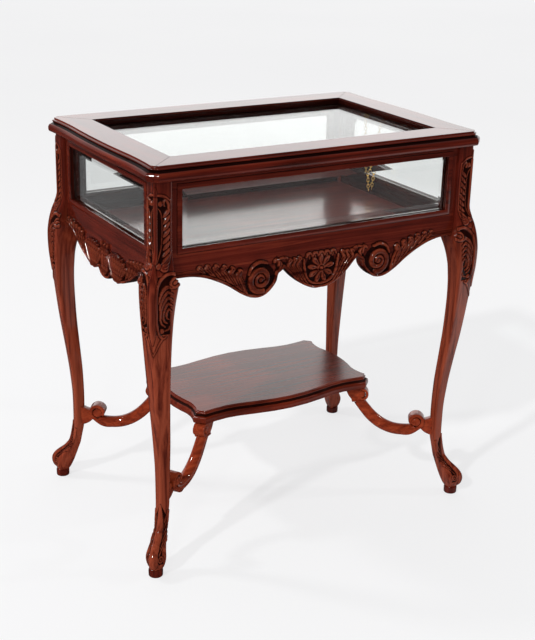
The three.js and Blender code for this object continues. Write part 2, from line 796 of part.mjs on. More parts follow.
function chainLink(start, along, across, straight) {
  const width = chainLinkWidth / 2;
  const side = new THREE.Vector3().crossVectors(along, across);
  const path = [];
  for (const [centre, sign] of [[0, -1], [straight, 1]]) {
    for (let step = 0; step <= linkArcSegments; step++) {
      const angle = Math.PI * (step / linkArcSegments);
      const out = new THREE.Vector3()
        .addScaledVector(across, -sign * Math.cos(angle))
        .addScaledVector(along, sign * Math.sin(angle));
      path.push({ centre: start.clone().addScaledVector(along, centre).addScaledVector(out, width), out });
    }
  }
  const positions = [];
  const faces = [];
  for (const { centre, out } of path) {
    for (let corner = 0; corner < linkSides; corner++) {
      const angle = (2 * Math.PI * corner) / linkSides;
      const point = centre.clone()
        .addScaledVector(out, chainWireRadius * Math.cos(angle))
        .addScaledVector(side, chainWireRadius * Math.sin(angle));
      positions.push(point.x, point.y, point.z);
    }
  }
  for (let row = 0; row < path.length; row++) {
    for (let corner = 0; corner < linkSides; corner++) {
      const next = (corner + 1) % linkSides;
      const below = ((row + 1) % path.length) * linkSides;
      const a = row * linkSides + corner;
      const b = row * linkSides + next;
      faces.push(a, b, below + next, a, below + next, below + corner);
    }
  }
  const geometry = new THREE.BufferGeometry();
  geometry.setAttribute('position', new THREE.BufferAttribute(new Float32Array(positions), 3));
  geometry.setIndex(faces);
  return outwards(geometry);
}

function chainHalf(pivot, end) {
  const along = new THREE.Vector3().subVectors(end, pivot);
  const length = along.length();
  along.normalize();
  const flat = new THREE.Vector3(1, 0, 0);
  const acrossSwing = new THREE.Vector3().crossVectors(along, flat).normalize();
  const besideSwing = new THREE.Vector3().crossVectors(along, acrossSwing).normalize();
  const bite = 2 * chainWireRadius - chainWireBite;
  const pitch = (length + chainLinkWidth / 2 - bite) / chainLinkCount;
  const straight = pitch - chainLinkWidth + bite;
  const links = [];
  for (let count = 0; count < chainLinkCount; count++) {
    const start = pivot.clone().addScaledVector(along, count * pitch);
    links.push(chainLink(start, along, count % 2 ? besideSwing : acrossSwing, straight));
  }
  return joined(...links);
}

const bottom = chainBottom();
const chainMiddleX = (caseEye.pivot.x + lidEye.pivot.x) / 2;
const halves = [
  ['case', caseEye.pivot, chainMiddleX + chainEndSpread / 2],
  ['lid', lidEye.pivot, chainMiddleX - chainEndSpread / 2],
];
for (const [place, pivot, endX] of halves) {
  addPiece(`chain_${place}_half`, chainHalf(pivot, new THREE.Vector3(endX, bottom.x, bottom.y)), brass);
}

// Shelf
const shelfOutline = mouldedOutline(shelfHalfWidth, shelfHalfDepth, shelfCant, shelfLongWave, shelfShortWave);
const shelfBottom = shelfTop - shelfThickness;
addPiece('shelf', mouldedBoard(shelfOutline, shelfMouldingReach, shelfBottom, shelfThickness), mahogany);

// Stretchers and brackets are drawn in their own upright plane, outwards from the leg's inner
// corner along X, and then turned towards the shelf's corner
const legCorner = new THREE.Vector2(halfWidth, halfDepth).subScalar(legInnerAtStretcher / Math.SQRT2);
const shelfCorner = new THREE.Vector2(shelfHalfWidth, shelfHalfDepth).subScalar(shelfCant / 2);
const stretcherReach = legCorner.distanceTo(shelfCorner) + bracketInset;
const stretcherTurn = Math.atan2(legCorner.y - shelfCorner.y, legCorner.x - shelfCorner.x) + Math.PI;
const bracketBottom = shelfBottom - bracketHeight;

function fromLegCorner(geometry) {
  geometry.rotateZ(stretcherTurn);
  geometry.translate(legCorner.x, legCorner.y, 0);
  return geometry;
}

// Centre line of a stretcher: places as shares of its reach, heights as shares of the way
// from its lowest point to the bracket
const stretcherShares = [
  [0.08, 0.16, 0.92], [0.22, 0.05, 1], [0.4, 0, 1], [0.6, 0.1, 1], [0.77, 0.36, 0.98],
  [0.9, 0.68, 0.95], [1, 1.02, 0.92], [1.04, 1.2, 0.9],
];
const stretcherSteps = 14;

function stretcherGeometry() {
  const climb = bracketBottom - stretcherLow;
  const line = new THREE.SplineCurve(stretcherShares.map(([alongShare, riseShare]) => new THREE.Vector2(
    alongShare * stretcherReach, stretcherLow + riseShare * climb)));
  const rings = [];
  for (let step = 0; step <= stretcherSteps; step++) {
    const share = step / stretcherSteps;
    const centre = line.getPoint(share);
    const tangent = line.getTangent(share);
    const place = share * (stretcherShares.length - 1);
    const before = Math.min(Math.floor(place), stretcherShares.length - 2);
    const size = THREE.MathUtils.lerp(
      stretcherShares[before][2], stretcherShares[before + 1][2], place - before);
    const ring = [];
    for (let corner = 0; corner < ringSegments; corner++) {
      const angle = (2 * Math.PI * corner) / ringSegments;
      const up = (Math.sin(angle) * stretcherThickness * size) / 2;
      ring.push([centre.x - tangent.y * up, (Math.cos(angle) * stretcherWidth * size) / 2,
        centre.y + tangent.x * up]);
    }
    rings.push(ring);
  }
  const scroll = new THREE.CylinderGeometry(
    stretcherScrollRadius, stretcherScrollRadius, stretcherScrollWidth, roundSegments);
  scroll.translate(stretcherScrollOffset, 0, stretcherScrollHeight);
  const block = boxBetween([-stretcherBlockBack, -stretcherBlockWidth / 2, stretcherBlockLow],
    [stretcherScrollOffset, stretcherBlockWidth / 2, stretcherBlockHigh]);
  const arm = fromLegCorner(joined(skinThrough(rings), scroll, block));
  const above = boxBetween([-halfWidth, -halfDepth, bracketBottom - fit], [halfWidth, halfDepth, shelfTop]);
  const legShape = mirrored(leg, 1, 1);
  legShape.translate(-stretcherLegGap, -stretcherLegGap, 0);
  return cut(arm, above, legShape);
}

function bracketGeometry() {
  const centre = stretcherReach;
  const top = shelfBottom - fit;
  const halfTop = bracketTopLength / 2;
  const halfNeck = bracketNeckLength / 2;
  const halfBreadth = bracketWidth / 2;
  const plate = boxBetween([centre - halfTop, -halfBreadth, top - bracketTopHeight],
    [centre + halfTop, halfBreadth, top]);
  const neck = boxBetween([centre - halfNeck, -halfBreadth, bracketBottom],
    [centre + halfNeck, halfBreadth, top - bracketTopHeight / 2]);
  const scroll = new THREE.CylinderGeometry(
    bracketScrollRadius, bracketScrollRadius, bracketScrollWidth, roundSegments);
  scroll.translate(centre - halfNeck / 2, 0, top - bracketScrollDrop);
  return fromLegCorner(joined(plate, neck, scroll));
}

const stretcher = stretcherGeometry();
const bracket = bracketGeometry();
for (const [place, signX, signY] of corners) {
  addPiece(`stretcher_${place}`, mirrored(stretcher, signX, signY), mahogany);
  addPiece(`shelf_bracket_${place}`, mirrored(bracket, signX, signY), mahogany);
}

export default table;
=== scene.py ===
"""Looks of a glazed display table: carved mahogany, bevelled glass and small brass fittings.

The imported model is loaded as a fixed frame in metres. Every size below is in millimetres and
is turned to metres by MM where it meets the frame. The front faces -Y and X runs to the right.
"""
import json
import math

import bpy
import numpy as np
from mathutils import Matrix, Vector


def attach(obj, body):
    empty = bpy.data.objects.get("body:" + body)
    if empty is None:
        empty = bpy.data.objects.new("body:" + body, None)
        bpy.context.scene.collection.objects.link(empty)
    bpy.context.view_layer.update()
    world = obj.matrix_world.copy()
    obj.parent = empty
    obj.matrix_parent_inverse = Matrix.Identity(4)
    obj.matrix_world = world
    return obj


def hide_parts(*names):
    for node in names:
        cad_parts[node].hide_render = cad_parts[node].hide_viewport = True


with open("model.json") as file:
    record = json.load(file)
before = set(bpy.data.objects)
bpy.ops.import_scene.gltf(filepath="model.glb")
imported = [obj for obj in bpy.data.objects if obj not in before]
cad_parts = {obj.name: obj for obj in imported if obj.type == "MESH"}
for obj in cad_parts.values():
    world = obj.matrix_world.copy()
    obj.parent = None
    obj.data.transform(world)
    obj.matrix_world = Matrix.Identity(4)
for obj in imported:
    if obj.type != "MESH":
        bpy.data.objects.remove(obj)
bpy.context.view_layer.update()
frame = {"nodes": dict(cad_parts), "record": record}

bl_info = {
    "name": "Glazed Display Table",
    "version": (1, 0, 0),
    "blender": (4, 5, 0),
    "location": "View3D > Sidebar > Display Table",
    "description": "Models the carving, mouldings, chain and finishes of a glazed display table",
    "category": "Object",
}

MM = 0.001
# The signs of X and Y that mirror a piece of the front left corner to each corner
CORNERS = {"front_left": (1, 1), "front_right": (-1, 1), "back_left": (1, -1), "back_right": (-1, -1)}
# Each side's turn from the front in degrees, and the axis that its wood's grain follows
SIDES = {"front": (0, "X"), "back": (180, "X"), "left": (-90, "Y"), "right": (90, "Y")}
# The outer corner of the front left post, seen from above
POST_CORNER = (-337.5, -220.0)
# How far the joinery's outer faces lie from the middle, on the long and on the short sides
LONG_FACE = 214.0
SHORT_FACE = 331.5
# Between these heights the case's panes are seen
WINDOW_LOW = 619.5
WINDOW_HIGH = 724.0
# The grooves round the lid's and the shelf's edge, from below and above
LID_GROOVE = (758.5, 763.6)
SHELF_GROOVE = (241.0, 246.4)
# The tallest rib that the legs' carving is drawn for
DRAWN_DEPTH = 2.8


# Small helpers for modelling

def deselect_all():
    if bpy.context.object and bpy.context.object.mode != "OBJECT":
        bpy.ops.object.mode_set(mode="OBJECT")
    bpy.ops.object.select_all(action="DESELECT")


def pick(piece):
    deselect_all()
    piece.select_set(True)
    bpy.context.view_layer.objects.active = piece


def begin_edit(piece, kind="VERT"):
    """Opens a piece in edit mode with all of it picked."""
    pick(piece)
    bpy.ops.object.mode_set(mode="EDIT")
    bpy.ops.mesh.select_mode(type=kind)
    bpy.ops.mesh.select_all(action="SELECT")


def end_edit():
    bpy.ops.object.mode_set(mode="OBJECT")


def extrude(move):
    bpy.ops.mesh.extrude_region_move(TRANSFORM_OT_translate={"value": move})


def named(name):
    """Names the piece that was added last, and its mesh."""
    piece = bpy.context.object
    piece.name = name
    piece.data.name = name
    return piece


def points_of(piece):
    flat = np.empty(len(piece.data.vertices) * 3)
    piece.data.vertices.foreach_get("co", flat)
    return flat.reshape(-1, 3)


def place_points(piece, points):
    piece.data.vertices.foreach_set("co", np.ascontiguousarray(points, float).ravel())
    piece.data.update()


def edge_ends(piece):
    """The numbers of the first and of the second point of every edge."""
    ends = np.empty(len(piece.data.edges) * 2, np.int32)
    piece.data.edges.foreach_get("vertices", ends)
    return ends[0::2], ends[1::2]


def use_modifier(piece, kind, **settings):
    pick(piece)
    modifier = piece.modifiers.new(kind.title(), kind)
    for name, value in settings.items():
        setattr(modifier, name, value)
    bpy.ops.object.modifier_apply(modifier=modifier.name)


def round_edges(piece, width, segments, angle):
    """Rounds the edges that bend by more than an angle in degrees."""
    use_modifier(piece, "BEVEL", width=width * MM, segments=segments, limit_method="ANGLE",
                 angle_limit=math.radians(angle))


def settle(piece):
    """Puts the place, turn and scale of a piece into its mesh."""
    pick(piece)
    bpy.ops.object.transform_apply(location=True, rotation=True, scale=True)


def smooth_shading(piece, angle):
    pick(piece)
    bpy.ops.object.shade_smooth_by_angle(angle=math.radians(angle))


def face_outwards(piece):
    begin_edit(piece)
    bpy.ops.mesh.normals_make_consistent(inside=False)
    end_edit()


def copy_of(piece, name):
    twin = piece.copy()
    twin.data = piece.data.copy()
    twin.name = name
    twin.data.name = name
    bpy.context.scene.collection.objects.link(twin)
    return twin


def mirrored_copy(piece, name, sign_x, sign_y):
    twin = copy_of(piece, name)
    twin.scale = (sign_x, sign_y, 1)
    settle(twin)
    if sign_x * sign_y < 0:
        face_outwards(twin)
    return twin


def joined(name, *pieces):
    deselect_all()
    for piece in pieces:
        piece.select_set(True)
    bpy.context.view_layer.objects.active = pieces[0]
    bpy.ops.object.join()
    return named(name)


def finished(piece, material, body, replaces=()):
    """Gives a piece its material, and tells the frame its slot, its body and what it replaces."""
    piece.data.materials.clear()
    piece.data.materials.append(material)
    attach(piece, body)
    if replaces:
        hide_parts(*replaces)


def to_corners(model, home, name, look, replaced=""):
    """Mirrors a model from its home corner to all four, as finished pieces, and drops the model."""
    home_x, home_y = CORNERS[home]
    for place, (sign_x, sign_y) in CORNERS.items():
        twin = mirrored_copy(model, f"{name}_{place}", home_x * sign_x, home_y * sign_y)
        finished(twin, finish(look), "case", [f"{replaced}_{place}"] if replaced else ())
    bpy.data.objects.remove(model)


def to_sides(model, places, name, look):
    """Turns a model from the front to some sides, as finished pieces, and drops the model."""
    for place in places:
        turn, grain = SIDES[place]
        twin = copy_of(model, f"{name}_{place}")
        twin.rotation_euler = (0, 0, math.radians(turn))
        settle(twin)
        finished(twin, finish(f"{look}_{grain}"), "case")
    bpy.data.objects.remove(model)


def body_of(node):
    for body, members in frame["record"]["behaviour"]["bodies"].items():
        if node in members:
            return body
    raise RuntimeError(f"no body holds {node}")


# Finishes

def linear(code):
    """Turns an sRGB hex colour into the linear one that the nodes use."""
    channels = [int(code[start:start + 2], 16) / 255 for start in (1, 3, 5)]
    return tuple(c / 12.92 if c <= 0.04045 else ((c + 0.055) / 1.055) ** 2.4 for c in channels) + (1.0,)


def as_colour(value):
    """Takes an sRGB hex code, a grey level or the three channels of a colour property."""
    if isinstance(value, str):
        return linear(value)
    if isinstance(value, (int, float)):
        return (value, value, value, 1.0)
    return (*value, 1.0)


def set_stops(elements, stops):
    """Writes the stops of a colour ramp: each is a place and a colour."""
    while len(elements) < len(stops):
        elements.new(0.5)
    for element, (place, colour) in zip(elements, stops):
        element.position = place
        element.color = as_colour(colour)


def add_node(tree, kind, settings=None, **inputs):
    """Adds a node. Inputs are named, or numbered as i0, i1 and so on.

    A value is written on its socket; an output, or a node's first output, is linked to it.
    """
    node = tree.nodes.new(kind)
    for name, value in (settings or {}).items():
        if name == "stops":
            set_stops(node.color_ramp.elements, value)
        else:
            setattr(node, name, value)
    for name, value in inputs.items():
        number = name[1:]
        socket = node.inputs[int(number)] if number.isdigit() else node.inputs[name.replace("_", " ")]
        if isinstance(value, bpy.types.Node):
            value = value.outputs[0]
        if isinstance(value, bpy.types.NodeSocket):
            tree.links.new(value, socket)
        else:
            socket.default_value = value
    return node


def new_material(name):
    material = bpy.data.materials.new(name)
    material.use_nodes = True
    material.node_tree.nodes.clear()
    return material, material.node_tree


def along_grain(grain, width, length):
    """The scale of a pattern of streaks along one axis, from their width and length in millimetres."""
    scale = [1 / (width * MM)] * 3
    scale["XYZ".index(grain)] = 1 / (length * MM)
    return scale


def polished_mahogany(name, grain, tone, gloss, polish=1.5, wax=0.0):
    """Solid mahogany, stained red-brown, with painted shade in its hollows, and French polished.

    The grain runs as long streaks along one axis, with short dark pores, and the polish gives
    a clear coat over it. A carved piece's first attribute is painted shade, 1 in its hollows, with the
    carving's dark stain in it too, and the second is 1 where the red is paler: wear and a painted
    highlight on the tops, and painted light from the floor on the lower legs.
    """
    material, tree = new_material(name)
    multiply = {"data_type": "RGBA", "blend_type": "MULTIPLY"}
    blend = {"data_type": "RGBA"}
    place = add_node(tree, "ShaderNodeTexCoord").outputs["Object"]
    # Streaks are about 4 mm wide and 143 mm long, and a cell of their noise holds a dark and a light
    # one, hence its scale; a pore fills about half of its cell of 0.6 x 9 mm
    streaks = add_node(tree, "ShaderNodeMapping", Vector=place, Scale=along_grain(grain, 4, 143))
    streak = add_node(tree, "ShaderNodeTexNoise", Vector=streaks, Scale=0.45, Detail=5.0, Roughness=0.62,
                      Distortion=0.6)
    pores = add_node(tree, "ShaderNodeMapping", Vector=place, Scale=along_grain(grain, 0.625, 9.1))
    pore = add_node(tree, "ShaderNodeTexNoise", Vector=pores, Scale=1.0, Detail=2.0)
    # Broad clouds in the stain are about 111 mm across
    broad = add_node(tree, "ShaderNodeTexNoise", Vector=place, Scale=1 / (111 * MM), Detail=2.0)
    dark, middle, light = tone
    wood = add_node(tree, "ShaderNodeValToRGB", {"stops": ((0.26, dark), (0.5, middle), (0.78, light))},
                    Fac=streak)
    cloud = add_node(tree, "ShaderNodeValToRGB", {"stops": ((0.35, 0.78), (0.65, 1.1))}, Fac=broad)
    toned = add_node(tree, "ShaderNodeMix", multiply, i0=1.0, i6=wood, i7=cloud)
    fleck = add_node(tree, "ShaderNodeValToRGB", {"stops": ((0.3, 0.6), (0.42, 1.0))}, Fac=pore)
    flecked = add_node(tree, "ShaderNodeMix", multiply, i0=0.7, i6=toned.outputs[2], i7=fleck)
    glaze = add_node(tree, "ShaderNodeAttribute", {"attribute_name": "glaze"}).outputs["Fac"]
    # The first attribute darkens the wood towards near black: painted shade in hollows, in grooves and
    # inside the case, and the carving's dark stain
    glazed_and_shaded = add_node(tree, "ShaderNodeMix", blend, i0=glaze, i6=flecked.outputs[2], i7=linear("#0e0403"))
    # The second mixes in a paler red: wear and a painted highlight on the carving's tops, and painted light
    # from the floor on the lower legs
    worn = add_node(tree, "ShaderNodeAttribute", {"attribute_name": "worn"}).outputs["Fac"]
    bare_and_lit_red = add_node(tree, "ShaderNodeValToRGB",
                    {"stops": ((0.34, "#5c1c10"), (0.52, "#a04a31"), (0.75, "#b45a3e"))}, Fac=streak)
    paler_with_painted_light = add_node(tree, "ShaderNodeMix", blend, i0=worn, i6=glazed_and_shaded.outputs[2], i7=bare_and_lit_red)
    # The polish follows slow ripples of the wood, about 45 mm across and 0.6 mm high at most
    ripple = add_node(tree, "ShaderNodeTexNoise", Vector=place, Scale=1 / (45.5 * MM), Detail=1.0)
    bump = add_node(tree, "ShaderNodeBump", Height=ripple, Strength=0.12, Distance=0.6 * MM)
    # Where shade is painted, and on the carving's stain, the polish lies dull and is taken away, so the
    # hollows show no reflection
    shine = add_node(tree, "ShaderNodeValToRGB", {"stops": ((0.0, 1.0), (1.0, 0.2))}, Fac=glaze)
    surface = add_node(tree, "ShaderNodeBsdfPrincipled", Base_Color=paler_with_painted_light.outputs[2], Roughness=0.42,
                       IOR=1.5, Specular_IOR_Level=wax, Coat_Weight=shine, Coat_Roughness=gloss,
                       Coat_IOR=polish, Normal=bump, Coat_Normal=bump)
    add_node(tree, "ShaderNodeOutputMaterial", Surface=surface)
    return material


def polished_plate_glass(name, tint, bending):
    """Clear soda-lime plate glass with ground and polished bevels: a faint grey-green depth."""
    material, tree = new_material(name)
    glass = add_node(tree, "ShaderNodeBsdfPrincipled", Base_Color=linear(tint), Roughness=0.0,
                     IOR=bending, Transmission_Weight=1.0)
    clear = add_node(tree, "ShaderNodeBsdfTransparent", Color=linear("#f2f5f4"))
    path = add_node(tree, "ShaderNodeLightPath")
    # Shadows and soft light pass the panes as if they were open
    unseen = add_node(tree, "ShaderNodeMath", {"operation": "MAXIMUM"},
                      i0=path.outputs["Is Shadow Ray"], i1=path.outputs["Is Diffuse Ray"])
    mixed = add_node(tree, "ShaderNodeMixShader", i0=unseen, i1=glass, i2=clear)
    add_node(tree, "ShaderNodeOutputMaterial", Surface=mixed)
    return material


def lacquered_brass(name, dull, bright):
    """Drawn and stamped brass, lightly tarnished: soft yellow gloss with duller brown patches."""
    material, tree = new_material(name)
    place = add_node(tree, "ShaderNodeTexCoord").outputs["Object"]
    # Tarnish patches are about 5 mm across
    patches = add_node(tree, "ShaderNodeTexNoise", Vector=place, Scale=1 / (5 * MM), Detail=3.0)
    colour = add_node(tree, "ShaderNodeValToRGB", {"stops": ((0.35, dull), (0.6, bright))}, Fac=patches)
    rough = add_node(tree, "ShaderNodeValToRGB", {"stops": ((0.35, 0.42), (0.6, 0.24))}, Fac=patches)
    surface = add_node(tree, "ShaderNodeBsdfPrincipled", Base_Color=colour, Metallic=1.0, Roughness=rough)
    add_node(tree, "ShaderNodeOutputMaterial", Surface=surface)
    return material


def matt_studio_floor():
    """Seamless white paper: flat, without gloss or grain."""
    material, tree = new_material("matt_studio_floor")
    place = add_node(tree, "ShaderNodeTexCoord").outputs["Object"]
    # Faint clouds in the paper are about 1.25 m across
    mottle = add_node(tree, "ShaderNodeTexNoise", Vector=place, Scale=1 / (1250 * MM), Detail=1.0)
    colour = add_node(tree, "ShaderNodeValToRGB", {"stops": ((0.3, "#eeeeef"), (0.7, "#f3f3f3"))},
                      Fac=mottle)
    # In the polish of the table the paper grows dark in front of it and at its left: a painted reflection,
    # dark grey to glossy rays only, for a dark room there
    path = add_node(tree, "ShaderNodeLightPath")
    parts = add_node(tree, "ShaderNodeSeparateXYZ", Vector=place)
    before = add_node(tree, "ShaderNodeMapRange", i0=parts.outputs["Y"], i1=-1.0, i2=-1.6)
    beside = add_node(tree, "ShaderNodeMapRange", i0=parts.outputs["X"], i1=0.9, i2=0.1)
    beyond = add_node(tree, "ShaderNodeMath", {"operation": "MAXIMUM"}, i0=before, i1=beside)
    hidden = add_node(tree, "ShaderNodeMath", {"operation": "MULTIPLY"}, i0=beyond,
                      i1=path.outputs["Is Glossy Ray"])
    paper_with_dark_reflection = add_node(tree, "ShaderNodeMix", {"data_type": "RGBA"}, i0=hidden, i6=colour,
                     i7=linear("#444444"))
    paper = add_node(tree, "ShaderNodeBsdfPrincipled", Base_Color=paper_with_dark_reflection.outputs[2], Roughness=1.0,
                     Specular_IOR_Level=0.0)
    # Seen straight or through glass, the paper is mostly flat light, and the rest keeps the shadows
    glow = add_node(tree, "ShaderNodeEmission", Color=linear("#f9f9fa"), Strength=1.0)
    seen = add_node(tree, "ShaderNodeMath", {"operation": "MAXIMUM"},
                    i0=path.outputs["Is Camera Ray"], i1=path.outputs["Is Transmission Ray"])
    share = add_node(tree, "ShaderNodeMath", {"operation": "MULTIPLY"}, i0=seen, i1=0.72)
    mixed = add_node(tree, "ShaderNodeMixShader", i0=share, i1=paper, i2=glow)
    add_node(tree, "ShaderNodeOutputMaterial", Surface=mixed)
    return material


FINISHES = {}


def finish(name):
    """Gives one of the table's finishes; the first call makes them all."""
    if not FINISHES:
        colours = bpy.context.scene.table_colours
        red = (colours.wood_dark, colours.wood_middle, colours.wood_light)
        pale = ("#5c1d10", "#8c351d", "#ae4c2c")
        board = ("#4a160c", "#68200f", "#843118")
        # The deep tone goes on the beads and ledgers, and on the strip in each window's quirk, where it is
        # painted shade
        deep = ("#1c0603", "#300c05", "#471508")
        for word, title, grains, tone, gloss in (("mahogany", "polished_mahogany", "XYZ", red, 0.07),
                                                 ("pale", "pale_mahogany", "X", pale, 0.07),
                                                 ("dark", "dark_mahogany", "XY", deep, 0.24)):
            for grain in grains:
                look = polished_mahogany(f"{title}_along_{grain}", grain, tone, gloss)
                FINISHES[f"{word}_{grain}"] = look
        FINISHES["floor_board"] = polished_mahogany("waxed_mahogany_board", "X", red, 0.2, 1.6, 1.0)
        FINISHES["shelf_board"] = polished_mahogany("satin_mahogany_board", "X", board, 0.22)
        FINISHES["glass"] = polished_plate_glass("polished_plate_glass", "#fafcfb", 1.5)
        FINISHES["lid_glass"] = polished_plate_glass("thick_plate_glass", "#d4d8d6", 1.3)
        FINISHES["brass"] = lacquered_brass("lacquered_brass", "#8a6a33", colours.brass)
        FINISHES["chain"] = lacquered_brass("gilt_brass_wire", "#b98f3c", "#ecc974")
        FINISHES["floor"] = matt_studio_floor()
    return FINISHES[name]


# Carving: heights over a flat pattern of places across and up, all in millimetres

def smooth_line(points, steps=10):
    """A smooth curve through rows of numbers, as many points as asked between two of them."""
    rows = np.array(points, float)
    padded = np.vstack([2 * rows[0] - rows[1], rows, 2 * rows[-1] - rows[-2]])
    shares = np.linspace(0, 1, steps, endpoint=False)[:, None]
    pieces = []
    for first, second, third, fourth in zip(padded, padded[1:], padded[2:], padded[3:]):
        pieces.append(0.5 * (2 * second + (third - first) * shares
                             + (2 * first - 5 * second + 4 * third - fourth) * shares ** 2
                             + (3 * second - first - 3 * third + fourth) * shares ** 3))
    return np.vstack(pieces + [rows[-1:]])


class Pattern:
    """Heights of a carved face at its points, raised rib by rib."""

    def __init__(self, across, up):
        self.across = across
        self.up = up
        self.height = np.zeros_like(across)
        self.ground = np.zeros_like(across)
        self.paler_with_painted_light = 0.0

    def raise_to(self, where, height):
        self.height[where] = np.maximum(self.height[where], height)

    def rib(self, points, height, ease=0.5, sharp=False):
        """A rounded rib. Each point holds its place across and up and the rib's half width there."""
        line = np.array(points, float) if sharp else smooth_line(points)
        for (x0, z0, w0), (x1, z1, w1) in zip(line, line[1:]):
            reach = max(w0, w1)
            where = np.nonzero((self.across > min(x0, x1) - reach) & (self.across < max(x0, x1) + reach)
                               & (self.up > min(z0, z1) - reach) & (self.up < max(z0, z1) + reach))[0]
            if not len(where):
                continue
            x = self.across[where] - x0
            z = self.up[where] - z0
            length = (x1 - x0) ** 2 + (z1 - z0) ** 2 + 1e-9
            share = np.clip((x * (x1 - x0) + z * (z1 - z0)) / length, 0, 1)
            away = np.hypot(x - share * (x1 - x0), z - share * (z1 - z0))
            width = np.maximum(w0 + share * (w1 - w0), 0.05)
            self.raise_to(where, height * np.clip(1 - (away / width) ** 2, 0, 1) ** ease)

    def dome(self, x, z, radius, height):
        away = np.hypot(self.across - x, self.up - z)
        where = np.nonzero(away < radius)[0]
        self.raise_to(where, height * np.sqrt(1 - (away[where] / radius) ** 2))

    def ring(self, x, z, radius, half_width, height):
        away = np.abs(np.hypot(self.across - x, self.up - z) - radius)
        where = np.nonzero(away < half_width)[0]
        self.raise_to(where, height * np.sqrt(1 - (away[where] / half_width) ** 2))

    def groove(self, points, depth):
        """A cut with sloping sides along a line, into whatever stands there."""
        cutter = Pattern(self.across, self.up)
        cutter.rib(points, depth, ease=1.0)
        self.height = np.maximum(self.height - cutter.height, 0)


def sink(pattern, depth):
    """Lowers the ground of a pattern, so that its ribs stand out of a hollow."""
    tallest = pattern.height.max()
    lowered = pattern.height * (1 + depth / tallest) - depth
    pattern.height = np.where(pattern.ground > 0, lowered, pattern.height)


def press(piece, heights):
    """Raises a mesh along its normals by heights in millimetres."""
    low = float(heights.min())
    span = float(heights.max()) - low
    group = piece.vertex_groups.new(name="carving")
    for number, share in enumerate((heights - low) / span):
        group.add([number], float(share), "REPLACE")
    use_modifier(piece, "DISPLACE", vertex_group="carving", strength=span * MM, mid_level=-low / span)
    piece.vertex_groups.clear()


def shade_relief(piece, pattern, stain):
    """Writes how deep each point lies among its neighbours: painted shade for the hollows, and paler
    tops, which are wear with a painted highlight.

    The stain is the dark finish that stays on all of the carving, its tops included.
    """
    height = pattern.height
    first, second = edge_ends(piece)
    neighbours = np.bincount(np.concatenate([first, second]), minlength=len(height))
    around = height.copy()
    # A few rounds of evening out give the level that a point's surroundings have
    own_share = 0.3
    for _ in range(5):
        total = np.bincount(first, weights=around[second], minlength=len(height))
        total += np.bincount(second, weights=around[first], minlength=len(height))
        around = own_share * around + (1 - own_share) * total / np.maximum(neighbours, 1)
    sunk = around - height
    # The millimetres below or above the level at which the painted shade and the paler tops are full,
    # and the depth of the ground that holds painted shade all over
    full_shade_depth, full_paling_height, shaded_ground_depth = 0.4, 0.5, 1.3
    glaze = np.clip(sunk / full_shade_depth, 0, 1) + pattern.ground * np.clip(1 - height / shaded_ground_depth, 0, 1)
    glaze = np.maximum(glaze, pattern.ground * stain)
    # The tops are painted paler, as wear and as a painted highlight, never fully, and less where more
    # stain stays
    tops = np.clip(-sunk / full_paling_height, 0, 1) * 0.6 * (1 - 0.6 * stain)
    # Below the knee the paler red is painted light from the floor, kept out of the painted shade
    worn = np.maximum(tops, pattern.paler_with_painted_light * (1 - glaze))
    # Even the darkest painted shade and stain let a little of the wood through
    thickest = 0.9
    for name, values in (("glaze", np.clip(glaze, 0, 1) * thickest), ("worn", worn)):
        attribute = piece.data.attributes.new(name=name, type="FLOAT", domain="POINT")
        attribute.data.foreach_set("value", values.astype(np.float32))


# Legs

def leg_sections(node, corner, outward, heights):
    """Outer, inner and side reach of a leg from its post's corner at each height, from the frame."""
    points = points_of(frame["nodes"][node]) / MM
    start, end = (points[numbers] for numbers in edge_ends(frame["nodes"][node]))
    outward = np.array(outward) / np.hypot(*outward)
    across = np.array([-outward[1], outward[0]])
    rows = []
    for height in heights:
        crossing = (start[:, 2] - height) * (end[:, 2] - height) <= 0
        low, high = start[crossing], end[crossing]
        rise = high[:, 2] - low[:, 2]
        share = np.where(np.abs(rise) > 1e-6, (height - low[:, 2]) / np.where(rise == 0, 1, rise), 0)
        place = low[:, :2] + (high[:, :2] - low[:, :2]) * np.clip(share, 0, 1)[:, None] - corner
        rows.append((np.max(place @ outward), np.min(place @ outward), np.max(np.abs(place @ across))))
    return np.array(rows)


def begin_ring(name, vertices, corner_share=0):
    """Adds an open ring of radius 1, all of it picked in edit mode; its corners can be cut back."""
    deselect_all()
    bpy.ops.mesh.primitive_circle_add(vertices=vertices, radius=1, fill_type="NOTHING")
    piece = named(name)
    begin_edit(piece)
    if corner_share:
        bpy.ops.mesh.bevel(offset=corner_share, segments=2, affect="VERTICES")
        bpy.ops.mesh.select_all(action="DESELECT")
        end_edit()
        # Only the long edges between the cut corners are divided
        shortest = 0.5
        for edge in piece.data.edges:
            first, second = (piece.data.vertices[number].co for number in edge.vertices)
            edge.select = (first - second).length > shortest
        bpy.ops.object.mode_set(mode="EDIT")
        bpy.ops.mesh.select_mode(type="EDGE")
        bpy.ops.mesh.subdivide(number_cuts=2)
        bpy.ops.mesh.select_all(action="SELECT")
    return piece


def extruded_through(name, sections, vertices, corner_share=0):
    """Draws one ring and extrudes it upwards through sections: height, middle, half length, half width."""
    piece = begin_ring(name, vertices, corner_share)
    height, middle, length, width = sections[0]
    bpy.ops.transform.resize(value=(length * MM, width * MM, 1), center_override=(0, 0, 0))
    bpy.ops.transform.translate(value=(middle * MM, 0, height * MM))
    bpy.ops.mesh.edge_face_add()
    for before, after in zip(sections, sections[1:]):
        move = ((after[1] - before[1]) * MM, 0, (after[0] - before[0]) * MM)
        extrude(move)
        bpy.ops.transform.resize(value=(after[2] / before[2], after[3] / before[3], 1),
                                 center_override=(after[1] * MM, 0, after[0] * MM))
    end_edit()
    face_outwards(piece)
    return piece


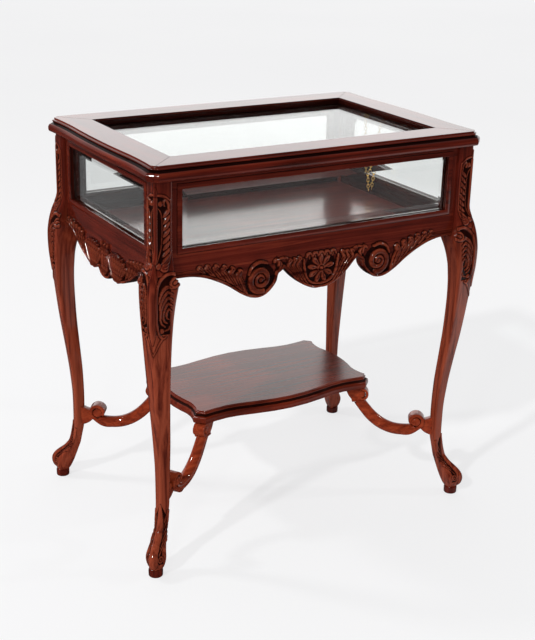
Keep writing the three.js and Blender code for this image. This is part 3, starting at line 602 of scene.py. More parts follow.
def swept(name, path, flat):
    """Extrudes a ring along a curved line. Each point holds its place, height, half depth, half width."""
    rows = smooth_line(path, 5)
    turns = np.unwrap(np.arctan2(np.gradient(rows[:, 1]), np.gradient(rows[:, 0])))
    corner_share = 0.16 if flat else 0
    piece = begin_ring(name, 4 if flat else 20, corner_share)
    if flat:
        # A ring of four stands on its corner, so it is turned and grown to a square of half width 1
        bpy.ops.transform.rotate(value=math.radians(45), orient_axis="Z", center_override=(0, 0, 0))
        bpy.ops.transform.resize(value=(math.sqrt(2), math.sqrt(2), 1), center_override=(0, 0, 0))
    across, up, depth, width = rows[0]
    bpy.ops.transform.resize(value=(depth * MM, width * MM, 1), center_override=(0, 0, 0))
    bpy.ops.transform.rotate(value=turns[0] - math.pi / 2, orient_axis="Y", center_override=(0, 0, 0))
    bpy.ops.transform.translate(value=(across * MM, 0, up * MM))
    bpy.ops.mesh.edge_face_add()
    for before, after, turn in zip(rows, rows[1:], np.diff(turns)):
        middle = (after[0] * MM, 0, after[1] * MM)
        move = ((after[0] - before[0]) * MM, 0, (after[1] - before[1]) * MM)
        extrude(move)
        bpy.ops.transform.rotate(value=turn, orient_axis="Y", center_override=middle)
        growth = after[2] / before[2]
        bpy.ops.transform.resize(value=(growth, after[3] / before[3], growth), center_override=middle)
    end_edit()
    face_outwards(piece)
    smooth_shading(piece, 50)
    return piece


def carve_leg(across, up):
    """The pattern of one leg: how far a point lies from the outer corner, and its height."""
    pattern = Pattern(across, up)
    # The ground is cut away on the post's panel, on the knee and on the toe
    panel = (across < 26.4) & (across > 4) & (up > 600) & (up < 718 - 0.014 * across ** 2)
    knee = (across < 38 - (568 - up) * 0.06) & (across > 9) & (up < 580) & (up > 476)
    toe = (across < 24 - 0.15 * (up - 30)) & (across > 13.5 - 0.12 * (up - 30)) & (up > 28)
    toe &= up < 132 - 1.9 * across
    pattern.ground = (panel | knee | toe) * 1.0
    # The post: its border, the strip on its corner, the berry, hook and bead, and the row of leaves
    pattern.rib([(27.2, 602, 1.3), (27.2, 698, 1.6), (24.5, 710, 1.8), (14, 718.5, 1.9),
                 (0, 720, 1.9)], 1.9)
    pattern.rib([(0, 733, 1), (0, 726, 3.2), (0, 719, 3.6)], 2.6)
    pattern.rib([(0, 714, 3.6), (0, 672, 3.4), (0, 630, 3.4), (0, 603, 3.8)], 3.2)
    pattern.dome(9.6, 704.5, 4.9, 4)
    pattern.rib([(24, 694, 1.5), (24, 703, 2.4), (19, 710.5, 2.6), (14.8, 706, 2.2),
                 (16.5, 700.5, 1.5)], 3.6)
    pattern.rib([(5, 697, 0.8), (9.5, 691, 1.1), (12, 680, 1.1), (12.4, 655, 1.1), (10.4, 628, 1.1),
                 (6.6, 612, 1.1), (5, 603, 0.8)], 1.7)
    for rise in (688, 676.5, 665, 653.5, 642, 630.5, 619, 608):
        pattern.rib([(14.6, rise - 6.5, 1.1), (16.4, rise - 5, 2.5), (19.6, rise - 1.5, 3.7),
                     (22.8, rise + 2.5, 3.5), (25.4, rise + 6.5, 1.5)], 3.8)
    pattern.dome(8.6, 597.5, 5.2, 3.8)
    for rise in (-8, -3, 2, 7):
        pattern.rib([(13.5, 594 + rise * 0.2, 1.2), (18, 595 + rise * 0.6, 2.4), (24, 597 + rise, 1.8),
                     (27, 600 + rise, 0.9)], 3)
    # The knee: the leaf on its corner, the C-scroll with its eye, and the plumes inside it
    pattern.rib([(0, 601, 0.8), (0, 590, 4.5), (0, 565, 9), (0, 520, 9.5), (0, 485, 7.5),
                 (0, 460, 1.5)], 2.6)
    pattern.rib([(44, 577, 2), (36, 583, 2.8), (25, 582, 3.2), (15, 574, 3.3), (10, 562, 3.2),
                 (9.2, 545, 3.2), (9.2, 520, 3.1), (9.4, 497, 2.8), (12, 480, 2.5),
                 (18.5, 470.5, 2.3), (25, 473, 1.4)], 3.2)
    knee_eye = (43, 567.5)
    pattern.ring(*knee_eye, 7.4, 2.6, 3.6)
    pattern.dome(*knee_eye, 3.8, 4.2)
    plumes = [
        [(39, 558.5, 1.6), (31, 562, 3.2), (23, 558, 3.4), (16.5, 547, 2.6), (14, 536, 1.2)],
        [(39, 549, 1.4), (31, 552.5, 3), (24, 547, 3.2), (18, 536, 2.6), (15.5, 524, 1.2)],
        [(38.5, 539, 1.6), (31, 543, 3), (24.5, 537, 3.2), (19, 526, 2.8), (16.5, 512, 2.4), (18, 499, 2),
         (24, 492, 1.4)],
        [(38, 529, 1.4), (31.5, 533, 2.8), (26, 527, 3), (22, 515, 2.6), (23, 503, 2.2), (28.5, 498, 1.4)],
        [(36.5, 519, 1.4), (32, 523, 2.6), (28.2, 516, 2.4), (28.6, 508, 1.8), (32, 505, 1.2)],
    ]
    for plume in plumes:
        pattern.rib(plume, 3.2)
        pattern.groove([(x + 0.6, z + 0.6, width * 0.32) for x, z, width in plume[1:-1]], 0.7)
    pattern.dome(17.5, 484, 5, 3.6)
    pattern.rib([(24, 484, 1.4), (30, 486, 2), (33, 492, 1.2)], 2.4)
    pattern.rib([(18.5, 470.5, 2.2), (12, 461, 1.8), (6, 450, 1.2), (0, 438, 0.7)], 1.8)
    # The toe: a wide leaf down its ridge, ribs on its sides and a small eye
    pattern.rib([(0, 131, 0.8), (0, 118, 4), (0, 98, 9), (0, 72, 12.5), (0, 48, 13.5), (0, 34, 12),
                 (0, 26, 7)], 2.6)
    for number in range(6):
        low = 52 + 10 * number
        inner = 14.5 - 1.1 * number
        pattern.rib([(inner, low - 7, 1), (inner + 2.6, low, 2.1), (inner + 5, low + 9, 2),
                     (inner + 5.4, low + 16, 1)], 2.4)
    toe_eye = (18.5, 38)
    pattern.ring(*toe_eye, 4.6, 1.9, 2.4)
    pattern.dome(*toe_eye, 2.2, 2.6)
    return pattern


def stand_at_post(piece, angle):
    """Turns a piece that looks along X to the front left and sets it at the post's outer corner."""
    piece.rotation_euler = (0, 0, math.radians(225))
    piece.location = (POST_CORNER[0] * MM, POST_CORNER[1] * MM, 0)
    settle(piece)
    smooth_shading(piece, angle)


class TABLE_OT_legs(bpy.types.Operator):
    """Models one carved cabriole leg and mirrors it to the four corners"""
    bl_idname = "display_table.legs"
    bl_label = "Legs"

    def execute(self, context):
        # Sections lie close at the post, knee and foot, and far apart on the plain shank
        heights = [742.4, 741.8, 739, *np.arange(733, 446, -8.0), *np.arange(436, 150, -26.0),
                   *np.arange(138, 22, -7.0), 19, 15, 12]
        # Subdividing draws the ring in, so each section starts a little larger than the leg
        swell = 1.035
        reach = leg_sections("leg_front_left", POST_CORNER, (-1, -1), heights)
        sections = [(height, (outer + inner) / 2, (outer - inner) / 2 * swell, side * swell)
                    for height, (outer, inner, side) in zip(heights, reach)]
        leg = extruded_through("carved_leg", sections, 4, corner_share=0.18)
        use_modifier(leg, "SUBSURF", levels=3, render_levels=3)
        points = points_of(leg) / MM
        upwards = np.array(sections)[::-1]
        middle, length, side = (np.interp(points[:, 2], upwards[:, 0], upwards[:, column])
                                for column in (1, 2, 3))
        # The inner faces lie farther from the outer corner than any carving does
        beyond = 999.0
        away = np.where(points[:, 0] > middle - 1, np.abs(points[:, 1]) / side * np.hypot(length, side),
                        beyond)
        pattern = carve_leg(away, points[:, 2])
        pattern.height *= context.scene.table_sizes.carving_depth / DRAWN_DEPTH
        ground_depth = 2.0
        sink(pattern, ground_depth)
        press(leg, pattern.height)
        # Below the knee the red is painted paler: painted light from the white floor
        knee_top, fading = 600, 130
        pattern.paler_with_painted_light = 0.55 * np.clip((knee_top - points[:, 2]) / fading, 0, 1)
        shade_relief(leg, pattern, 0.5)
        stand_at_post(leg, 60)
        to_corners(leg, "front_left", "carved_leg", "mahogany_Z", "leg")
        return {"FINISHED"}


class TABLE_OT_feet(bpy.types.Operator):
    """Turns the round pad under each foot"""
    bl_idname = "display_table.feet"
    bl_label = "Foot pads"

    def execute(self, context):
        # The pad stands under the toe, a little beyond the post's outer corner
        middle = 9.2
        profile = [(0, 12.8), (0.5, 13.4), (6, 13.5), (11, 13.8), (13.6, 13.4), (15, 12.4), (16, 11)]
        sections = [(height, middle, radius, radius) for height, radius in profile]
        pad = extruded_through("foot_pad", sections, 28)
        use_modifier(pad, "SUBSURF", levels=1, render_levels=1)
        stand_at_post(pad, 50)
        to_corners(pad, "front_left", "foot_pad", "mahogany_Z")
        return {"FINISHED"}


# Aprons

def lower_edge(node, axis, face):
    """The lower outline of an apron on its outer face, from the frame: places across and heights."""
    points = points_of(frame["nodes"][node]) / MM
    slack = 0.05
    flat = points[np.abs(np.abs(points[:, 1 - axis]) - face) < slack]
    flat = flat[np.argsort(flat[:, axis])]
    across = np.round(flat[:, axis], 2)
    places = np.unique(across)
    heights = np.array([flat[across == place, 2].min() for place in places])
    return places, heights


def feather(pattern, tip, foot, bow, width, height):
    """A grooved feather from its hooked tip down to its foot, bowed away from the volute."""
    (x0, z0), (x1, z1) = tip, foot
    drop = z0 - z1
    middle = ((x0 + x1) / 2 + bow, (z0 + z1) / 2)
    body = [(x0 - 1, z0 - 2, width * 0.5), (x0 + bow * 0.7, z0 - drop * 0.25, width),
            (*middle, width * 0.92), ((middle[0] + x1) / 2 + bow * 0.3, (middle[1] + z1) / 2, width * 0.7),
            (x1, z1, 1)]
    pattern.rib(body, height)
    for share in (-0.42, 0.25):
        pattern.groove([(x + share * reach, z - share * reach * 0.5, 0.95) for x, z, reach in body[1:-1]],
                       height * 0.35)
    pattern.rib([(x0 + 3.6, z0 - 3.4, 1), (x0 + 2, z0 + 0.5, 2), (x0 - 1.6, z0 - 0.5, 2.1),
                 (x0 - 2.4, z0 - 3.4, 1)], height * 1.18)


def carve_long_apron(across, up, edge):
    """Half of the long front, mirrored: band, feathers, volute, cusp leaf, shell bowl and rosette."""
    pattern = Pattern(np.abs(across), up)
    line = [(x, z) for x, z in zip(*edge) if x >= 0]
    pattern.rib([(x, z + 2.6, 2.9) for x, z in line], 4.6, sharp=True)
    pattern.rib([(247, 572.5, 2), (262, 573, 4.4), (285, 572.5, 4.8), (305, 572, 4.8)], 2.2)
    # Feathers from the leg to the volute, each longer than the one before
    tips = [(250, 582), (234.5, 582), (218, 580), (201.5, 576.5), (185.5, 571.5), (170, 565)]
    feet = [(240, 569), (221, 561), (202, 551), (184, 540), (168, 527), (154, 516)]
    for number, (tip, foot) in enumerate(zip(tips, feet)):
        feather(pattern, tip, foot, 2.4 + 0.9 * number, 5 + 0.55 * number, 4.2 + 0.3 * number)
    # The volute winds inwards over less than two turns and gets thinner
    volute_x, volute_z = 128, 541
    turn = np.linspace(0, 1, 40)
    angle = np.radians(-100 + 640 * turn)
    reach = 23.5 - 18.5 * turn ** 0.85
    pattern.rib([(volute_x + near * math.cos(bend), volute_z + near * math.sin(bend), 6.6 - 3.4 * share)
                 for share, bend, near in zip(turn, angle, reach)], 5.2)
    pattern.dome(volute_x + 0.3, volute_z, 6.4, 6)
    # The leaf at the cusp between the volute and the bowl
    pattern.rib([(153, 553, 1.2), (146, 567, 2.6), (131, 573.5, 3), (116, 570.5, 2.2)], 5.4)
    pattern.rib([(101, 569, 1.6), (97, 573, 3), (92, 570, 3.6), (91, 562, 2.6)], 5.2)
    pattern.rib([(89, 571, 1.4), (86, 564, 3), (88, 557, 1.6)], 4)
    pattern.rib([(92, 573, 1.8), (80, 574.5, 2.6), (70, 570.5, 2.4), (64, 563, 1.6)], 3.6)
    # The shell bowl: feathers at its side, its rim, the curls above it and the rosette in it
    for tip, foot, bow in (((67, 570), (43, 522), 3), ((56.5, 570), (35, 519), 4.5),
                           ((46, 571), (27, 517), 6.5)):
        feather(pattern, tip, foot, bow, 4, 4.6)
    pattern.rib([(37.5, 566, 1.6), (35, 547, 2.3), (30, 530, 2.5), (18, 518.5, 2.5), (0, 514.5, 2.5)], 4.2)
    for x in (0, 13, 26):
        pattern.rib([(x - 6.5, 568.5, 1.4), (x - 3, 574.5, 2.3), (x + 3, 574.5, 2.3),
                     (x + 6.5, 568.5, 1.4)], 4.2)
        pattern.rib([(x, 571, 2.2), (x * 0.95, 565, 1.2)], 3)
    rosette_z, petals = 544.6, 9
    for number in range(petals):
        angle = 2 * math.pi * (number + 0.25) / petals
        petal, vein = ([(abs(reach * math.cos(angle)), rosette_z + reach * math.sin(angle), width)
                        for reach, width in places]
                       for places in (((7, 1.4), (12, 3), (18, 5), (22.5, 4.6), (26.5, 2)),
                                      ((9, 0.8), (20, 1.3))))
        pattern.rib(petal, 4.4)
        pattern.groove(vein, 1.2)
    pattern.ring(0, rosette_z, 6.6, 1.7, 4.4)
    pattern.dome(0, rosette_z, 4.6, 6.4)
    # The ground that stain and, where it lies low, painted shade darken: round the volute, in the bowl and
    # along the lower edge
    wide = Pattern(np.abs(across), up)
    wide.dome(volute_x, volute_z, 30.5, 1)
    wide.dome(0, rosette_z, 34, 1)
    wide.rib([(x, z + 5, 5) for x, z in line if x < 250], 1, sharp=True)
    pattern.ground = ((wide.height > 0) | (pattern.height > 0.2)) * 1.0
    return pattern


def carve_short_apron(across, up, edge):
    """Half of the short front, mirrored: ribbed shell, feathers towards the leg and a leaf between."""
    pattern = Pattern(np.abs(across), up)
    line = [(x, z) for x, z in zip(*edge) if x >= 0]
    pattern.rib([(x, z + 2.4, 2.6) for x, z in line], 4.4, sharp=True)
    # The shell's ribs fan out from its foot, each with a bead at its end
    shell_x, shell_z, shell_reach = 53, 506, 61
    for angle in np.radians(np.arange(-40, 41, 10)):
        fan = [(shell_x + near * math.sin(angle), shell_z + near * math.cos(angle), width)
               for near, width in ((12, 1.1), (28, 2.3), (44, 3.4), (57, 4.2))]
        pattern.rib(fan, 4.8)
        pattern.dome(shell_x + shell_reach * math.sin(angle), shell_z + shell_reach * math.cos(angle),
                     3.4, 5)
    tips = [(104, 571), (117, 574), (130, 577), (143, 579), (156, 580.5), (169, 581.5)]
    for number, tip in enumerate(tips):
        x = tip[0] - 12 + number
        feather(pattern, tip, (x, np.interp(x, *edge) + 3), 2.5, 4.6 - 0.2 * number, 4)
    pattern.rib([(0, 574, 1.5), (0, 562, 3.6), (0, 540, 5), (0, 514, 2)], 4.8)
    for low in (518, 530, 542, 554):
        pattern.rib([(2, low, 1.4), (7, low + 6, 2.6), (12, low + 16, 2.4), (13, low + 23, 1.2)], 4.4)
    pattern.groove([(0, 570, 0.8), (0, 545, 1.3), (0, 520, 0.8)], 1.6)
    # The ground that stain and, where it lies low, painted shade darken: the carving and along the lower
    # edge
    wide = Pattern(np.abs(across), up)
    wide.rib([(x, z + 7, 8) for x, z in line], 1, sharp=True)
    pattern.ground = ((wide.height > 0) | (pattern.height > 0.2)) * 1.0
    return pattern


def carved_front(name, half, face, edge, carve, columns, stain):
    """A carved apron front: a fine grid fitted to the lower outline, raised, and given its thickness.

    No tool lays a grid between two outlines, so its points are placed in code.
    """
    top, rows = 603.5, 90
    deselect_all()
    bpy.ops.mesh.primitive_grid_add(x_subdivisions=columns, y_subdivisions=rows, size=1)
    piece = named(name)
    shares = points_of(piece) + 0.5
    across = (shares[:, 0] * 2 - 1) * half
    low = np.interp(across, *edge) - 0.5
    up = low + (top - low) * shares[:, 1]
    pattern = carve(across, up, edge)
    # The aprons' carving stands bolder than it is drawn, on a ground just proud of the wood
    bolder, proud = 1.25, 0.35
    pattern.height *= bolder
    place_points(piece, np.column_stack([across, -(face + proud + pattern.height), up]) * MM)
    shade_relief(piece, pattern, stain)
    begin_edit(piece)
    bpy.ops.mesh.select_all(action="DESELECT")
    bpy.ops.mesh.select_non_manifold()
    extrude((0, 20 * MM, 0))
    bpy.ops.mesh.edge_face_add()
    end_edit()
    face_outwards(piece)
    smooth_shading(piece, 60)
    return piece


class TABLE_OT_aprons(bpy.types.Operator):
    """Carves the fronts of the four aprons"""
    bl_idname = "display_table.aprons"
    bl_label = "Apron carving"

    def execute(self, context):
        long_front = carved_front("apron_carving_long", 304.2, LONG_FACE,
                                  lower_edge("apron_front", 0, LONG_FACE), carve_long_apron, 640, 0.45)
        short_front = carved_front("apron_carving_short", 186.7, SHORT_FACE,
                                   lower_edge("apron_left", 1, SHORT_FACE), carve_short_apron, 400, 0.55)
        to_sides(long_front, ("front", "back"), "apron_carving", "mahogany")
        to_sides(short_front, ("left", "right"), "apron_carving", "mahogany")
        return {"FINISHED"}


# Joinery: a copy of each plain wooden piece with its edges softened

def softened(node, width, angle=30, smooth=40):
    """A copy of a node, its triangles merged to flat faces and its edges rounded."""
    piece = copy_of(frame["nodes"][node], f"softened_{node}")
    piece.parent = None
    for key in list(piece.keys()):
        del piece[key]
    begin_edit(piece)
    bpy.ops.mesh.remove_doubles(threshold=0.02 * MM)
    bpy.ops.mesh.dissolve_limited(angle_limit=math.radians(0.5))
    end_edit()
    round_edges(piece, width, 2, angle)
    smooth_shading(piece, smooth)
    use_modifier(piece, "WEIGHTED_NORMAL", keep_sharp=True)
    return piece


def write_face_shade(piece, glaze):
    attribute = piece.data.attributes.new(name="glaze", type="FLOAT", domain="FACE")
    attribute.data.foreach_set("value", np.asarray(glaze, np.float32))


def paint_groove_shade(piece, low, high):
    """Paints shade on the faces in a groove round a moulded board."""
    heights = np.array([face.center.z for face in piece.data.polygons]) / MM
    write_face_shade(piece, np.where((heights > low) & (heights < high), 0.9, 0.0))


def paint_shade_on_faces(piece, side, is_lid):
    """Paints shade on the faces that look into the case, into a window or into a groove."""
    count = len(piece.data.polygons)
    normals, middles = np.empty(count * 3), np.empty(count * 3)
    piece.data.polygons.foreach_get("normal", normals)
    piece.data.polygons.foreach_get("center", middles)
    normals, middles = normals.reshape(-1, 3), middles.reshape(-1, 3) / MM
    axis = 1 if side in ("front", "back") else 0
    outward = normals[:, axis] * np.sign(middles[:, axis])
    inwards, across = outward < -0.5, np.abs(outward) < 0.5
    # Painted shade on the faces that look into the case, and below it on the lid's groove and on the sides
    # of the windows
    glaze = np.where(inwards, 0.85, 0.0)
    if is_lid:
        low, high = LID_GROOVE
        groove = (middles[:, 2] > low) & (middles[:, 2] < high) & ~inwards
        glaze = np.where(groove, 0.95, glaze)
    else:
        in_window = (middles[:, 2] > WINDOW_LOW - 1.5) & (middles[:, 2] < WINDOW_HIGH + 2) & across
        glaze = np.where(in_window, 0.7, glaze)
    write_face_shade(piece, glaze)


class TABLE_OT_joinery(bpy.types.Operator):
    """Softens the edges of rails, stiles, beads, floor, shelf and lid frame"""
    bl_idname = "display_table.joinery"
    bl_label = "Joinery"

    def execute(self, context):
        soft = context.scene.table_sizes.edge_softness
        for node in frame["nodes"]:
            words = node.split("_")
            side = words[-1]
            along = "X" if side in ("front", "back") else "Y"
            if node.startswith("stile"):
                side = words[1]
                piece, look = softened(node, soft), finish("mahogany_Z")
            elif node.startswith(("top_rail", "apron")):
                piece, look = softened(node, soft), finish(f"mahogany_{along}")
            elif node.startswith("lid_rail"):
                piece, look = softened(node, soft, 40, 50), finish(f"mahogany_{along}")
            elif node == "shelf":
                piece, look = softened(node, soft, 40, 50), finish("shelf_board")
                paint_groove_shade(piece, *SHELF_GROOVE)
            elif node == "case_floor":
                piece, look = softened(node, soft), finish("floor_board")
            elif node.startswith(("bead", "floor_ledger")) or node == "lid_bead":
                piece, look = softened(node, soft), finish("dark_X")
            else:
                continue
            # Faces inside the case, in the windows and in the lid's groove get painted shade
            if node.startswith(("stile", "top_rail", "apron", "lid_rail")):
                paint_shade_on_faces(piece, side, node.startswith("lid"))
            finished(piece, look, body_of(node), [node])
        return {"FINISHED"}


def window_strip(name, low, high, face, width, proud):
    """A mitred strip round a window: a plane inset, emptied, given thickness and softened."""
    deselect_all()
    bpy.ops.mesh.primitive_plane_add(size=1)
    piece = named(name)
    span = [(high[axis] - low[axis]) * MM for axis in (0, 1)]
    middle = [(high[axis] + low[axis]) / 2 * MM for axis in (0, 1)]
    # The strip reaches a little into the wood behind it
    sunk = 2
    begin_edit(piece, "FACE")
    bpy.ops.transform.resize(value=(span[0] + 2 * width * MM, span[1] + 2 * width * MM, 1))
    bpy.ops.mesh.inset(thickness=width * MM)
    bpy.ops.mesh.delete(type="FACE")
    bpy.ops.mesh.select_all(action="SELECT")
    extrude((0, 0, (proud + sunk) * MM))
    end_edit()
    face_outwards(piece)
    round_edges(piece, 0.9, 3, 30)
    piece.rotation_euler = (math.radians(90), 0, 0)
    piece.location = (middle[0], -(face - sunk) * MM, middle[1])
    settle(piece)
    smooth_shading(piece, 40)
    return piece


class TABLE_OT_window_strips(bpy.types.Operator):
    """Sets a rounded strip round each window of the case, with a thin dark strip in its quirk as painted
    shade
    """
    bl_idname = "display_table.window_strips"
    bl_label = "Window strips"

    def execute(self, context):
        width = context.scene.table_sizes.strip_width
        for side, (_, along) in SIDES.items():
            half, face = (283.5, LONG_FACE) if along == "X" else (166.0, SHORT_FACE)
            strip = window_strip("strip", (-half, WINDOW_LOW), (half, WINDOW_HIGH), face, width, 1.4)
            # The quirk runs round the strip, just under its outer edge; the dark strip laid in it is painted
            # shade
            reach = width - 0.3
            quirk = window_strip("quirk", (-half - reach, WINDOW_LOW - reach),
                                 (half + reach, WINDOW_HIGH + reach), face, 1.8, 0.12)
            to_sides(strip, (side,), "window_strip", "mahogany")
            to_sides(quirk, (side,), "quirk_painted_shade", "dark")
        return {"FINISHED"}


def button(name, across, up, radius, half_width):
    """A short round boss with softened rims, lying on its side."""
    deselect_all()
    bpy.ops.mesh.primitive_cylinder_add(vertices=36, radius=radius * MM, depth=2 * half_width * MM)
    piece = named(name)
    piece.rotation_euler = (math.radians(90), 0, 0)
    piece.location = (across * MM, 0, up * MM)
    settle(piece)
    round_edges(piece, radius * 0.3, 4, 40)
    smooth_shading(piece, 50)
    return piece


def stretcher():
    """The bar from under the shelf to the leg, rolled up into a scroll there, and its stem."""
    bar = [(149.5, 197.2, 11, 11), (143, 188.5, 11.3, 11), (134, 177, 11.6, 11.2), (124, 165.3, 11.9, 11.4),
           (112, 154.3, 12, 11.6), (97, 144.3, 12, 12), (80, 137.3, 12, 12), (64, 134.5, 12, 12),
           (50, 134.6, 11.6, 12), (39, 137.5, 9.6, 12), (30, 143.5, 5.5, 11.6)]
    roll = [(70, 129, 2, 5), (58, 127.6, 3, 8), (46, 129, 3.6, 11), (36, 133.2, 4, 12.2),
            (25, 141.5, 4, 12.6), (15.5, 151.5, 3.8, 12.8), (15.6, 163, 3.6, 12.9),
            (24, 170.2, 3.4, 12.9), (34.5, 169, 3.3, 12.9), (40.8, 160.5, 3.4, 12.8), (38, 151.5, 3, 12.6)]
    stem = [(-6, 146.5, 20, 8.8), (4, 147.5, 16.5, 8.9), (12, 149.5, 12, 9), (20, 152, 8, 9)]
    return joined("stretcher", swept("bar", bar, False), swept("roll", roll, True),
                  swept("stem", stem, True), button("eye", 28.5, 156.5, 9.2, 13.4))


def bracket():
    """The block between a stretcher's end and the shelf, with its collar and its small scroll."""
    block = [(152, 197, 11, 10.5), (154, 205, 11.5, 10.8), (158, 215, 14.5, 11.2), (160, 226.6, 18, 11.6)]
    collar = [(150, 196.6, 12.8, 12), (150, 198, 13.2, 12.4), (150, 199.2, 12.8, 12)]
    roll = [(156, 224.3, 2.2, 11), (147, 224.4, 2.4, 11.4), (137, 221.5, 2.5, 11.6),
            (131.8, 213, 2.5, 11.6), (135, 204.2, 2.5, 11.6), (144, 201.6, 2.4, 11.6),
            (151, 206, 2.1, 11.2)]
    return joined("bracket", swept("block", block, True), swept("collar", collar, True),
                  swept("roll", roll, True), button("eye", 143.3, 212.8, 6.8, 12.2))


class TABLE_OT_stretchers(bpy.types.Operator):
    """Models one stretcher with its scroll and one shelf bracket and mirrors them to the four corners"""
    bl_idname = "display_table.stretchers"
    bl_label = "Stretchers"

    def execute(self, context):
        # Each runs from the shank of its leg towards the corner of the shelf
        shank_x, shank_y = 305.68, 188.18
        shelf_x, shelf_y = 189, 108
        turn = math.atan2(shank_y - shelf_y, shank_x - shelf_x) + math.pi
        for model, word in ((stretcher(), "stretcher"), (bracket(), "shelf_bracket")):
            model.rotation_euler = (0, 0, turn)
            model.location = (shank_x * MM, shank_y * MM, 0)
            settle(model)
            to_corners(model, "back_right", f"carved_{word}", "pale_X", word)
        return {"FINISHED"}


def strand_of(node, spacing):
    """The middle line of a hanging strand from the frame, as points at even spacing from the top."""
    points = points_of(frame["nodes"][node]) / MM
    line = []
    for level in np.arange(points[:, 2].max() - 2, points[:, 2].min() + 1, -4.0):
        near = points[np.abs(points[:, 2] - level) < 6]
        if len(near):
            line.append((near[:, 0].mean(), near[:, 1].mean(), level))
    line = np.array(line)
    steps = np.concatenate([[0], np.cumsum(np.linalg.norm(np.diff(line, axis=0), axis=1))])
    places = np.arange(0, steps[-1], spacing)
    return np.column_stack([np.interp(places, steps, line[:, axis]) for axis in range(3)])


class TABLE_OT_chain(bpy.types.Operator):
    """Hangs the stay chain link by link along the two strands of the frame"""
    bl_idname = "display_table.chain"
    bl_label = "Chain"

    def execute(self, context):
        sizes = context.scene.table_sizes
        deselect_all()
        bpy.ops.mesh.primitive_torus_add(major_segments=20, minor_segments=8,
                                         major_radius=sizes.link_radius * MM,
                                         minor_radius=sizes.link_wire / 2 * MM)
        link = bpy.context.object
        link.rotation_euler = (math.radians(90), 0, 0)
        settle(link)
        # Each link is drawn out to an oval
        link.scale = (1, 1, 1.65)
        settle(link)
        for node, body in (("chain_case_half", "chain_case_side"), ("chain_lid_half", "chain_lid_side")):
            line = strand_of(node, sizes.link_pitch)
            links = []
            for number, (here, after) in enumerate(zip(line, line[1:])):
                twin = copy_of(link, f"link_{number}")
                # Every other link is turned by a quarter about the chain
                quarter = Matrix.Rotation(math.radians(90 * (number % 2)), 4, "Z").to_quaternion()
                twin.rotation_mode = "QUATERNION"
                twin.rotation_quaternion = Vector(after - here).to_track_quat("Z", "Y") @ quarter
                twin.location = Vector((here + after) / 2) * MM
                links.append(twin)
            strand = joined(f"links_of_{node}", *links)
            strand.rotation_mode = "XYZ"
            settle(strand)
            smooth_shading(strand, 60)
            finished(strand, finish("chain"), body, [node])
        bpy.data.objects.remove(link)
        return {"FINISHED"}


def bevelled_pane(node, axis, visible, hidden):
    """A pane as large as the frame's own, its borders ground down over a wide bevel on the outer face."""
    points = points_of(frame["nodes"][node])
    low, high = points.min(axis=0), points.max(axis=0)
    outward = 1 if axis == 2 or low[axis] + high[axis] > 0 else -1
    edge_share = 0.4
    edge = edge_share * (high[axis] - low[axis])
    deselect_all()
    bpy.ops.mesh.primitive_cube_add(size=1)
    piece = named(f"bevelled_{node}")
    span = list(high - low)
    middle = list((high + low) / 2)
    span[axis] = edge
    middle[axis] = (low[axis] if outward > 0 else high[axis]) + outward * edge / 2
    begin_edit(piece, "FACE")
    bpy.ops.transform.resize(value=span)
    bpy.ops.transform.translate(value=middle)
    bpy.ops.mesh.select_all(action="DESELECT")
    end_edit()
    outer = max(piece.data.polygons, key=lambda face: face.center[axis] * outward)
    outer.select = True
    bpy.ops.object.mode_set(mode="EDIT")
    bpy.ops.mesh.inset(thickness=(visible + hidden) * MM)
    rise = [0, 0, 0]
    rise[axis] = outward * (high[axis] - low[axis] - edge)
    bpy.ops.transform.translate(value=rise)
    end_edit()
    face_outwards(piece)
    return piece


class TABLE_OT_panes(bpy.types.Operator):
    """Grinds the wide bevels of the five panes"""
    bl_idname = "display_table.panes"
    bl_label = "Panes"

    def execute(self, context):
        width = context.scene.table_sizes.bevel_width
        for side, (_, along) in SIDES.items():
            pane = bevelled_pane(f"pane_{side}", 1 if along == "X" else 0, width, 7)
            finished(pane, finish("glass"), "case", [f"pane_{side}"])
        pane = bevelled_pane("lid_pane", 2, width + 4, 8)
        finished(pane, finish("lid_glass"), "lid", ["lid_pane"])
        return {"FINISHED"}


class TABLE_OT_brass(bpy.types.Operator):
    """Gives the hinges and the chain's eyes their brass"""
    bl_idname = "display_table.brass"
    bl_label = "Brass"

    def execute(self, context):
        for node, piece in frame["nodes"].items():
            if node.startswith(("hinge", "chain_eye")):
                for slot in piece.material_slots:
                    slot.material = finish("brass")
        return {"FINISHED"}


# Stage

def set_camera():
    """Sets the camera where the photograph was taken, as solved from the table's straight edges."""
    place = (-1.2159, -2.0460, 1.2646)
    yaw, pitch, roll = (math.radians(angle) for angle in (31.123, 20.616, 1.516))
    focal_pixels, picture_pixels, sensor = 1256.6, 640, 36
    forward = Vector((math.sin(yaw) * math.cos(pitch), math.cos(yaw) * math.cos(pitch),
                      -math.sin(pitch)))
    right = Vector((math.cos(yaw), -math.sin(yaw), 0))
    up = right.cross(forward)
    right_rolled = right * math.cos(roll) + up * math.sin(roll)
    up_rolled = up * math.cos(roll) - right * math.sin(roll)
    data = bpy.data.cameras.new("photograph_view")
    data.lens = focal_pixels / picture_pixels * sensor
    data.sensor_width = sensor
    data.clip_end = 200
    camera = bpy.data.objects.new("photograph_view", data)
    turn = Matrix((right_rolled, up_rolled, -forward)).transposed().to_4x4()
    camera.matrix_world = Matrix.Translation(place) @ turn
    bpy.context.scene.collection.objects.link(camera)
    bpy.context.scene.camera = camera


def set_floor():
    deselect_all()
    bpy.ops.mesh.primitive_plane_add(size=60)
    floor = named("studio_floor")
    floor.data.materials.append(finish("floor"))


